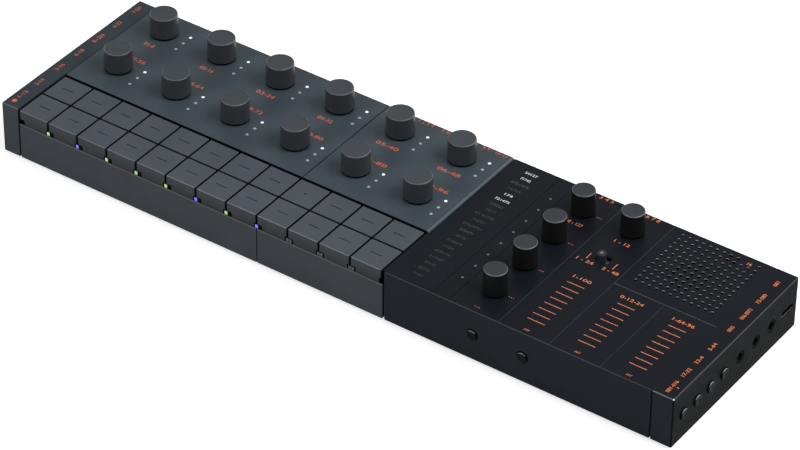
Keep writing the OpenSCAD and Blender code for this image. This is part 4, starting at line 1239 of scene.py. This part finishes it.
class DRUM_OT_edge_buttons(bpy.types.Operator):
    """Model the strips with the round buttons of the four edges"""

    bl_idname = "drum_machine.edge_buttons"
    bl_label = "Edge Buttons"

    def strip(self, node, axis, places):
        """Round heads at places along one side, on a bar behind them"""
        profile = [(0, -4.4), (2.4, -4.4)] + arc((2.0, -0.4), 0.4, 0, 80, 5)
        profile += [(1.4, 0.0), (1.2, -0.06), (0, -0.1)]
        low, high = span(node)
        side, outward = "xy".index(axis[-1]), not axis.startswith("-")
        centres = [Vector(c) for c in edge_places(places, axis, high[side] if outward else low[side])]
        head = turned("head", profile, centres[0], axis, 40)
        heads = copies(head, "head", [c - centres[0] for c in centres])
        thick, half = 1.2, 1.7
        low.z, high.z = PORT_HEIGHT - half, PORT_HEIGHT + half
        if outward:
            high[side] = low[side] + thick
        else:
            low[side] = high[side] - thick
        bar = block("bar", low, high)
        soften(bar, 0.2)
        piece = joined(node + "_caps", heads + [bar])
        body = moulded("button_plastic", tone(17, 18, 19), rough=0.36, edge=0.1, specular=0.02)
        dress(piece, body, highlight_plastic("button_highlight", tone(118, 122, 126), 0.28))
        along = AXES[axis][0]
        # Painted highlight on the upper side of each head's rim
        paint_faces(piece, 1, lambda at, way: way.z > 0.5 and 0.2 < way.dot(along) < 0.85)
        shade(piece, 45)
        fit(piece, "button_plastic", node, node)

    def execute(self, context):
        self.strip("left_button_strip", "-x", LEFT_BUTTONS)
        self.strip("right_button_strip", "x", RIGHT_BUTTONS)
        self.strip("front_button_strip", "-y", FRONT_BUTTONS)
        self.strip("rear_button_strip", "y", REAR_GREY_BUTTONS + REAR_BLACK_BUTTONS)
        return {"FINISHED"}


class DRUM_OT_sockets(bpy.types.Operator):
    """Model the three jacks with their contact rings and the flat data socket"""

    bl_idname = "drum_machine.sockets"
    bl_label = "Sockets"

    def jacks(self, mouth, z):
        """Three round sockets in their bodies, and the contact rings inside"""
        shells, rings = [], []
        bore, face = 1.8, mouth - 2.2
        tube = [(0, -13), (2.9, -13), (2.9, -0.25), (2.65, 0), (2.1, 0), (bore, -0.3), (bore, -12), (0, -12)]
        ring = [(bore, -4.2), (bore, -3.5), (1.95, -3.4), (1.95, -4.3), (bore, -4.2)]
        for y in JACKS:
            shells.append(turned("jack", tube, (mouth, y, z), "x", 48))
            body = block("jack_body", (mouth - 13, y - 3, z - 2.8), (face, y + 3, z + 2.8))
            cut(body, [hole((face, y, z), 2.7, 10.2, "x", 0.01, 32)])
            shells.append(soften(body, 0.2))
            rings.append(turned("ring", ring, (mouth, y, z), "x", 48))
        piece = joined("jack_row", shells)
        dress(piece, moulded("socket_plastic", tone(9, 9, 10), rough=0.5, edge=0, specular=0.02))
        shade(piece, 45)
        fit(piece, "socket_plastic", HOUSING, "sockets")
        ring = joined("jack_contacts", rings)
        dress(ring, metal("contact_metal", tone(150, 148, 140), 0.25))
        shade(ring, 45)
        fit(ring, "encoder_metal", HOUSING)

    def data_socket(self, mouth, z):
        """A flat shell with round short sides and a tongue in its middle"""
        shell = data_slot(4.5, 1.6, mouth - 7.3, mouth)
        cut(shell, [data_slot(4.15, 1.25, mouth - 6.3, mouth + 1)])
        soften(shell, 0.08)
        y, half = DATA_SOCKET, 3.3
        tongue = block("tongue", (mouth - 6.8, y - half, z - 0.32), (mouth - 1, y + half, z + 0.32))
        soften(tongue, 0.12)
        shell = joined("data_socket_shell", [shell, tongue])
        tongue_plastic = moulded("tongue_plastic", tone(14, 14, 15), 0.4, specular=0.03)
        lip = moulded("shell_lip_highlight", tone(150, 154, 158), rough=0.3, edge=0, specular=0.3)
        # Painted shade: the shell is near black; painted highlight on the front of its lower lip
        dress(shell, moulded("shell_shade", tone(13, 13, 14), edge=0, specular=0.02), tongue_plastic, lip)
        paint_faces(shell, 1, lambda at, way: abs(at.z - z) < 0.4 and abs(at.y - y) < half + 0.1
                    and at.x > mouth - 6.2)
        # Painted highlight on the front of the lower lip
        paint_faces(shell, 2, lambda at, way: way.x > 0.5 and at.z < z - 0.9 and at.x > mouth - 0.3)
        shade(shell, 45)
        fit(shell, "socket_plastic", HOUSING)

    def execute(self, context):
        mouth = LENGTH - 0.2
        self.jacks(mouth, PORT_HEIGHT)
        self.data_socket(mouth, PORT_HEIGHT)
        return {"FINISHED"}


# ---- Lamps ----


class DRUM_OT_lamps(bpy.types.Operator):
    """Set the key lamps and the lamps beside the knobs"""

    bl_idname = "drum_machine.lamps"
    bl_label = "Lamps"

    def key_lamps(self):
        """A lens between two keys each, in a sleeve coloured as painted shade, with a paler end"""
        green, purple = colours().key_green, colours().key_purple
        lit = {
            "green": lamp_glow("key_lamp_green", green, green, 0.4),
            "purple": lamp_glow("key_lamp_purple", purple, purple, 0.7),
            "off": lamp_glow("key_lamp_off", tone(20, 22, 25), green, 0),
        }
        # Painted shade: the sleeve takes the near-black gap colour
        dark, pale = shadowed("lamp_screen"), lamp_glow("lamp_end", tone(32, 35, 38), green, 0)
        order = "green purple green green green purple green purple off off off".split()
        z0, z1 = FRONT_WALL + 0.18, FRONT_WALL + 2.33
        for number, (x, state) in enumerate(zip(key_lamp_lines(), order), 1):
            sleeve = block("sleeve", (x - 1.03, 0.36, z0), (x + 1.03, 3.84, z1))
            soften(sleeve, 0.02, 1)
            end = block("end", (x + 0.6, 0.3, z0), (x + 2.1, 3.8, z1 - 0.2))
            soften(end, 0.15, 2)
            screen = joined(f"lamp_screen_{number}", [sleeve, end])
            dress(screen, dark, pale)
            if state == "off":
                paint_faces(screen, 1, lambda at, way: at.x > x + 0.6 and at.y < 0.32)
            shade(screen)
            fit(screen, "silicone", HOUSING)
            lens = block(f"key_lamp_{number}", (x - 0.98, 0.28, z0 + 0.02), (x + 0.55, 3.7, z1 - 0.35))
            soften(lens, 0.18, 3)
            dress(lens, lit[state])
            shade(lens)
            fit(lens, "silicone", HOUSING)

    def knob_lamps(self):
        """Three round windows beside each grey knob, joined by colour"""
        white, grey = colours().lamp_white, colours().lamp_grey
        glass = {
            "white": lamp_glow("dot_white", white, white, 0.6),
            "green": lamp_glow("dot_green", tone(176, 205, 170), tone(176, 205, 170), 0.8),
            "grey": lamp_glow("dot_grey", grey, grey, 0),
        }
        radius = sizes().lamp_window / MM / 2 - 0.03
        groups = {"white": [], "green": [], "grey": []}
        for knob in sorted(GREY_KNOBS):
            at = middle(knob)
            first = "green" if knob in ("drum_knob_6", "synth_knob_3") else "white"
            for dy, kind in zip(DOT_STEPS, (first, "grey", "grey")):
                groups[kind].append(Vector((at.x + DOT_SIDE, at.y + dy, GREY_TOP)))
        profile = [(0, -0.3), (radius, -0.3), (radius, -0.06), (radius * 0.75, 0.0), (0, 0.03)]
        for kind, places in groups.items():
            first = turned("dot", profile, places[0], steps=20)
            dots = joined(f"knob_lamps_{kind}", copies(first, "dot", [p - places[0] for p in places]))
            dress(dots, glass[kind])
            shade(dots, 50)
            fit(dots, "silicone", HOUSING)

    def execute(self, context):
        self.key_lamps()
        self.knob_lamps()
        return {"FINISHED"}


# ---- Printed marks ----


def figures(text, x, y, z, height, turn=0.0, wide=None, bold=0.01):
    """Printed figures with their middle at x, y and their face up, turned by degrees

    A wide figure is drawn out or pressed together to that width, and bold thickens its lines.
    """
    release()
    bpy.ops.object.text_add(location=spot(x, y, z), rotation=(0, 0, math.radians(turn)))
    piece = bpy.context.object
    piece.data.body = text
    piece.data.size = height * MM * 1.38
    piece.data.align_x = "CENTER"
    piece.data.align_y = "CENTER"
    piece.data.extrude = sizes().ink_height
    piece.data.resolution_u = 3
    piece.data.offset = bold * MM
    bpy.ops.object.convert(target="MESH")
    piece = named("figures")
    if wide:
        piece.scale.x = wide * MM / piece.dimensions.x
    settle(piece)
    bpy.ops.object.mode_set(mode="EDIT")
    bpy.ops.mesh.select_all(action="SELECT")
    bpy.ops.mesh.remove_doubles(threshold=MM * 0.002)
    release()
    return piece


def bar(x, y, z, long, wide, turn=0.0):
    """A printed line, with its middle at x, y"""
    thick = sizes().ink_height / MM
    piece = block("bar", (x - long / 2, y - wide / 2, z - thick), (x + long / 2, y + wide / 2, z + thick))
    if turn:
        centre = spot(x, y, z)
        spin = Matrix.Rotation(math.radians(turn), 4, "Z")
        spin = Matrix.Translation(centre) @ spin @ Matrix.Translation(-centre)
        piece.data.transform(spin)
    pick(piece, "EDGE", lambda a, b: not near(a.z, b.z))
    bevel_picked(wide * 0.3, 2)
    return piece


def dot(x, y, z, radius):
    """A printed round dot"""
    thick = sizes().ink_height / MM
    return turned("dot", [(0, -thick), (radius, -thick), (radius, thick), (0, thick)], (x, y, z), steps=20)


def printed(name, pieces, material, slot):
    """Join printed pieces into one and fit it to the housing"""
    piece = dress(joined(name, pieces), material)
    return fit(piece, slot, HOUSING)


class DRUM_OT_marks(bpy.types.Operator):
    """Print the figures, ticks and dots on the panels"""

    bl_idname = "drum_machine.marks"
    bl_label = "Printed Marks"

    def grey_print(self, tall):
        """Figures at the knobs, along the rear edge and on the left end cap"""
        orange = ink("ink_orange", colours().print_orange)
        grey = []
        rows = sorted(GREY_KNOBS, key=lambda n: (-round(middle(n).y), middle(n).x))
        for number, node in enumerate(rows, 1):
            at = middle(node)
            back = number <= len(rows) / 2
            in_synth = at.x > SYNTH_CASE[0].x
            wide = 11.5 if in_synth else (5.4, 7.2, 9.4, 7.6)[number - 1] if back else 9
            x = at.x + (0.8 if in_synth and back else 0 if back else 3)
            y = 71.7 if back else 59.2
            grey.append(figures(f"{number:02d}-{number * 8}", x, y, GREY_TOP, tall, wide=wide, bold=0.03))
        for text, x, wide in (("1 2 3 4", 158, 7.6), ("5 6 7", 169.6, 6.6), ("8 9 - 10 11", 194, 12.2)):
            grey.append(figures(text, x, REAR_ROW, GREY_TOP, tall * 0.9, wide=wide))
        cap_middle = 3.75
        grey.append(dot(cap_middle, 4.3, GREY_TOP, 1.2))
        labels = ((10, 5.6), (21.5, 5.1), (35.4, 5.6), (49, 6.0), (62.6, 7.4), (76, 5.2), (90.1, 5.2))
        for number, (y, wide) in enumerate(labels, 1):
            text = f"{number}-{number * 2 + 10}"
            grey.append(figures(text, cap_middle, y, GREY_TOP, tall * 0.9, 90, wide))
        printed("orange_print_grey", grey, orange, "grey_case")

    def black_print(self, tall, z):
        """Ticks of the touch strips, figures, small dots and lines of the black section and its cap"""
        black = []
        for column in (2.5, 1.5, 0.5):
            x = X_CAP - column * COLUMN
            black += [bar(x, 9.5 + 4.186 * i, z, 8.2, 0.34) for i in range(8)]
            black += [bar(x - 0.9 + i * 0.9, 2.7, z, 1.3, 0.26, 60) for i in range(3)]
        for text, x, y, wide in (
            ("1-100", 271.4, 43.4, 8.6), ("0-12-24", 295.8, 43.4, 11), ("1-64-96", 320.2, 43.4, 10.2),
            ("0 - 127", 248.7, 73.3, 7), ("1 - 12", 271.7, 73.3, 7.4), ("3 4 5", 250.6, REAR_ROW, 7),
            ("6 7 8", 273.5, REAR_ROW, 6.6), ("16", 322, 92.1, None), ("1 - 24", 265.4, 54.6, 8),
            ("2 - 48", 278.1, 54.6, 7.8),
        ):
            black.append(figures(text, x, y, z, tall * 0.86, wide=wide))
        for x, y in [(246.9, 3.3)] + [(254.9, y) for y in (16.4, 38.3, 60.5, 82.3)]:
            black += [dot(x + i, y, z, 0.2) for i in (-1, 0, 1)]
        black += [bar(x, 58.4, z, 4.1, 0.36, 90) for x in (265.2, 278.05)]
        for y, text, wide in (
            (6.8, "001-016", 8.2), (17.2, "17-32", 6), (27, "33-4", 5.2), (37.4, "5-64", 5.2),
            (51.4, "0065", 3.9), (63.3, "066-0072", 8.2), (75.4, "73-080", 7), (87.7, "081", 3.4),
        ):
            black.append(figures(text, 338, y, z, tall * 0.8, 90, wide))
        black.append(bar(340.3, 7.2, z, 1.1, 0.4))
        printed("amber_print_black", black, ink("ink_amber", colours().print_amber), "black_case")

    def display(self, z):
        """Rows of figures in three shades, and the column of dots beside them"""
        lit, faint, dim = [], [], []
        rows = (
            ("54127", 6.1), ("71742", 4.9), ("4751475", 8.9), ("14725", 6.3), ("174", 3.9), ("721475", 7.1),
            ("174721", 6.1), ("24717", 4.9), ("57 41742", 9.4), ("714721", 6), ("47514721", 9.4),
            ("572471", 6.3), ("24172", 5), ("7142574", 7.6), ("1724", 4.4), ("4275174", 7.5),
            ("217547", 7), ("57142", 5.4), ("42715", 5.4), ("71427", 4.9),
        )
        for row, (text, wide) in enumerate(rows):
            bright = row in (0, 1, 4, 5)
            group = lit if bright else faint if row in (2, 6, 11) else dim
            group.append(figures(text, 215.1, 91 - 4.43 * row, z, 1.5, 0, wide, 0.02 if bright else 0))
        printed("display_lit", lit, ink("ink_white", colours().print_white, glow=0.1), "black_case")
        printed("display_faint", faint, ink("ink_faint", tone(58, 61, 66)), "black_case")
        printed("display_dim", dim, ink("ink_dim", colours().print_dim), "black_case")
        small = [dot(231.1, 81.6 - 9.39 * i, z, 0.55) for i in range(8)]
        printed("display_dots", small, ink("ink_grey", tone(92, 96, 102)), "black_case")

    def execute(self, context):
        tall = sizes().letter_height / MM
        self.grey_print(tall)
        self.black_print(tall, BLACK_TOP)
        self.display(BLACK_TOP)
        return {"FINISHED"}


# ---- Underside and inner parts ----


class DRUM_OT_inner_parts(bpy.types.Operator):
    """Finish the base, feet, boards and other parts that keep their solid shape"""

    bl_idname = "drum_machine.inner_parts"
    bl_label = "Inner Parts"

    def execute(self, context):
        finishes = {
            "base_plate": moulded("base_plastic", tone(40, 43, 46), rough=0.6, grain=0.03),
            "main_board": circuit("board_mask", tone(26, 84, 52)),
            "key_mat": rubber("mat_silicone", tone(190, 190, 182), 0.5),
            "battery": metal("battery_foil", tone(150, 154, 160), 0.4, (1, 14, 1)),
            "speaker": moulded("speaker_cone", tone(26, 26, 27), rough=0.7, grain=0.05),
            "encoders": metal("encoder_metal", tone(150, 152, 155), 0.3),
            "rubber_feet": rubber("foot_rubber", tone(22, 22, 22)),
            "screws": metal("screw_steel", tone(130, 132, 135), 0.35, (14, 14, 1)),
        }
        for node, material in finishes.items():
            dress(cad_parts[node], material)
        return {"FINISHED"}


# ---- Stage ----


def seen_directly(nodes, links):
    """1 where the camera, a reflection or a clear material looks at the surroundings"""
    path = nodes.new("ShaderNodeLightPath")
    total = path.outputs["Is Camera Ray"]
    for ray in ("Is Glossy Ray", "Is Transmission Ray"):
        both = nodes.new("ShaderNodeMath")
        both.operation = "MAXIMUM"
        links.new(total, both.inputs[0])
        links.new(path.outputs[ray], both.inputs[1])
        total = both.outputs["Value"]
    return total


class DRUM_OT_stage(bpy.types.Operator):
    """Set the floor, the soft lights and the camera"""

    bl_idname = "drum_machine.stage"
    bl_label = "Stage"

    def lamp(self, name, at, aim, size, power):
        """A soft area light at a place, aimed at another; in metres and watts"""
        place = Vector(at)
        bpy.ops.object.light_add(type="AREA", location=place)
        light = bpy.context.object
        light.name = light.data.name = name
        light.data.shape = "RECTANGLE"
        light.data.size, light.data.size_y = size
        light.data.energy = power
        light.rotation_euler = (Vector(aim) - place).to_track_quat("-Z", "Y").to_euler()
        return light

    def floor(self):
        """A wide white floor that stays bright where the camera sees it"""
        release()
        bpy.ops.mesh.primitive_plane_add(size=8, location=(0, 0, 0))
        floor = named("floor")
        material = bpy.data.materials.new("floor_white")
        material.use_nodes = True
        nodes, links = material.node_tree.nodes, material.node_tree.links
        shader = nodes["Principled BSDF"]
        shader.inputs["Base Color"].default_value = (0.8, 0.8, 0.8, 1)
        shader.inputs["Roughness"].default_value = 0.9
        shader.inputs["Specular IOR Level"].default_value = 0.1
        glow = nodes.new("ShaderNodeEmission")
        glow.inputs["Color"].default_value = (1, 1, 1, 1)
        share = nodes.new("ShaderNodeMath")
        share.operation = "MULTIPLY"
        share.inputs[1].default_value = 0.55
        links.new(seen_directly(nodes, links), share.inputs[0])
        links.new(share.outputs["Value"], glow.inputs["Strength"])
        both = nodes.new("ShaderNodeAddShader")
        links.new(shader.outputs["BSDF"], both.inputs[0])
        links.new(glow.outputs["Emission"], both.inputs[1])
        links.new(both.outputs["Shader"], nodes["Material Output"].inputs["Surface"])
        floor.data.materials.append(material)

    def world(self):
        """White surroundings, dimmer as a light than they look"""
        world = bpy.data.worlds.new("studio")
        bpy.context.scene.world = world
        world.use_nodes = True
        nodes, links = world.node_tree.nodes, world.node_tree.links
        back = nodes["Background"]
        back.inputs["Color"].default_value = (1, 1, 1, 1)
        level = nodes.new("ShaderNodeMapRange")
        level.inputs["To Min"].default_value = 0.29
        level.inputs["To Max"].default_value = 1.0
        links.new(seen_directly(nodes, links), level.inputs["Value"])
        links.new(level.outputs["Result"], back.inputs["Strength"])

    def camera(self):
        """A long lens from the front right, looking down on the panels"""
        release()
        bpy.ops.object.camera_add()
        camera = named("camera")
        place = spot(931.96, -1045.44, 1022.98)
        right = Vector((0.8184806, 0.57443914, 0.01044899))
        down = Vector((0.355564, -0.492166, -0.794573))
        forward = Vector((-0.45129138, 0.65405813, -0.60707829))
        turn = Matrix((right, -down, -forward)).transposed().to_4x4()
        camera.matrix_world = Matrix.Translation(place) @ turn
        camera.data.sensor_width = 36
        camera.data.lens = 177.56
        camera.data.clip_start, camera.data.clip_end = 0.05, 30
        bpy.context.scene.camera = camera

    def execute(self, context):
        bpy.context.scene.view_settings.view_transform = "Standard"
        self.floor()
        self.world()
        self.camera()
        self.lamp("key_light", (0.6, 0.2, 0.7), (0.08, 0, 0), (0.7, 0.7), 8.5)
        self.lamp("edge_light", (-0.55, -1.0, 0.75), (0, 0, 0), (0.5, 0.5), 7.2)
        return {"FINISHED"}


PIECES = (
    DRUM_OT_stage, DRUM_OT_grey_cases, DRUM_OT_black_cases, DRUM_OT_keys, DRUM_OT_grey_knobs,
    DRUM_OT_black_knobs, DRUM_OT_mode_switch, DRUM_OT_edge_buttons, DRUM_OT_sockets,
    DRUM_OT_lamps, DRUM_OT_marks, DRUM_OT_inner_parts,
)


class DRUM_PT_pieces(bpy.types.Panel):
    """Lists the pieces of the drum machine"""

    bl_idname = "DRUM_PT_pieces"
    bl_label = "Drum Machine"
    bl_space_type = "VIEW_3D"
    bl_region_type = "UI"
    bl_category = "Drum Machine"

    def draw(self, context):
        layout = self.layout
        for settings in (context.scene.drum_machine_sizes, context.scene.drum_machine_colours):
            box = layout.box()
            for key in settings.__annotations__:
                box.prop(settings, key)
        for piece in PIECES:
            layout.operator(piece.bl_idname)


CLASSES = (DrumMachineSizes, DrumMachineColours, *PIECES, DRUM_PT_pieces)


def register():
    for item in CLASSES:
        bpy.utils.register_class(item)
    bpy.types.Scene.drum_machine_sizes = bpy.props.PointerProperty(type=DrumMachineSizes)
    bpy.types.Scene.drum_machine_colours = bpy.props.PointerProperty(type=DrumMachineColours)


def unregister():
    del bpy.types.Scene.drum_machine_colours
    del bpy.types.Scene.drum_machine_sizes
    for item in reversed(CLASSES):
        bpy.utils.unregister_class(item)


def main():
    register()
    for piece in PIECES:
        area, action = piece.bl_idname.split(".")
        getattr(getattr(bpy.ops, area), action)()
    release()


if __name__ == "__main__":
    main()
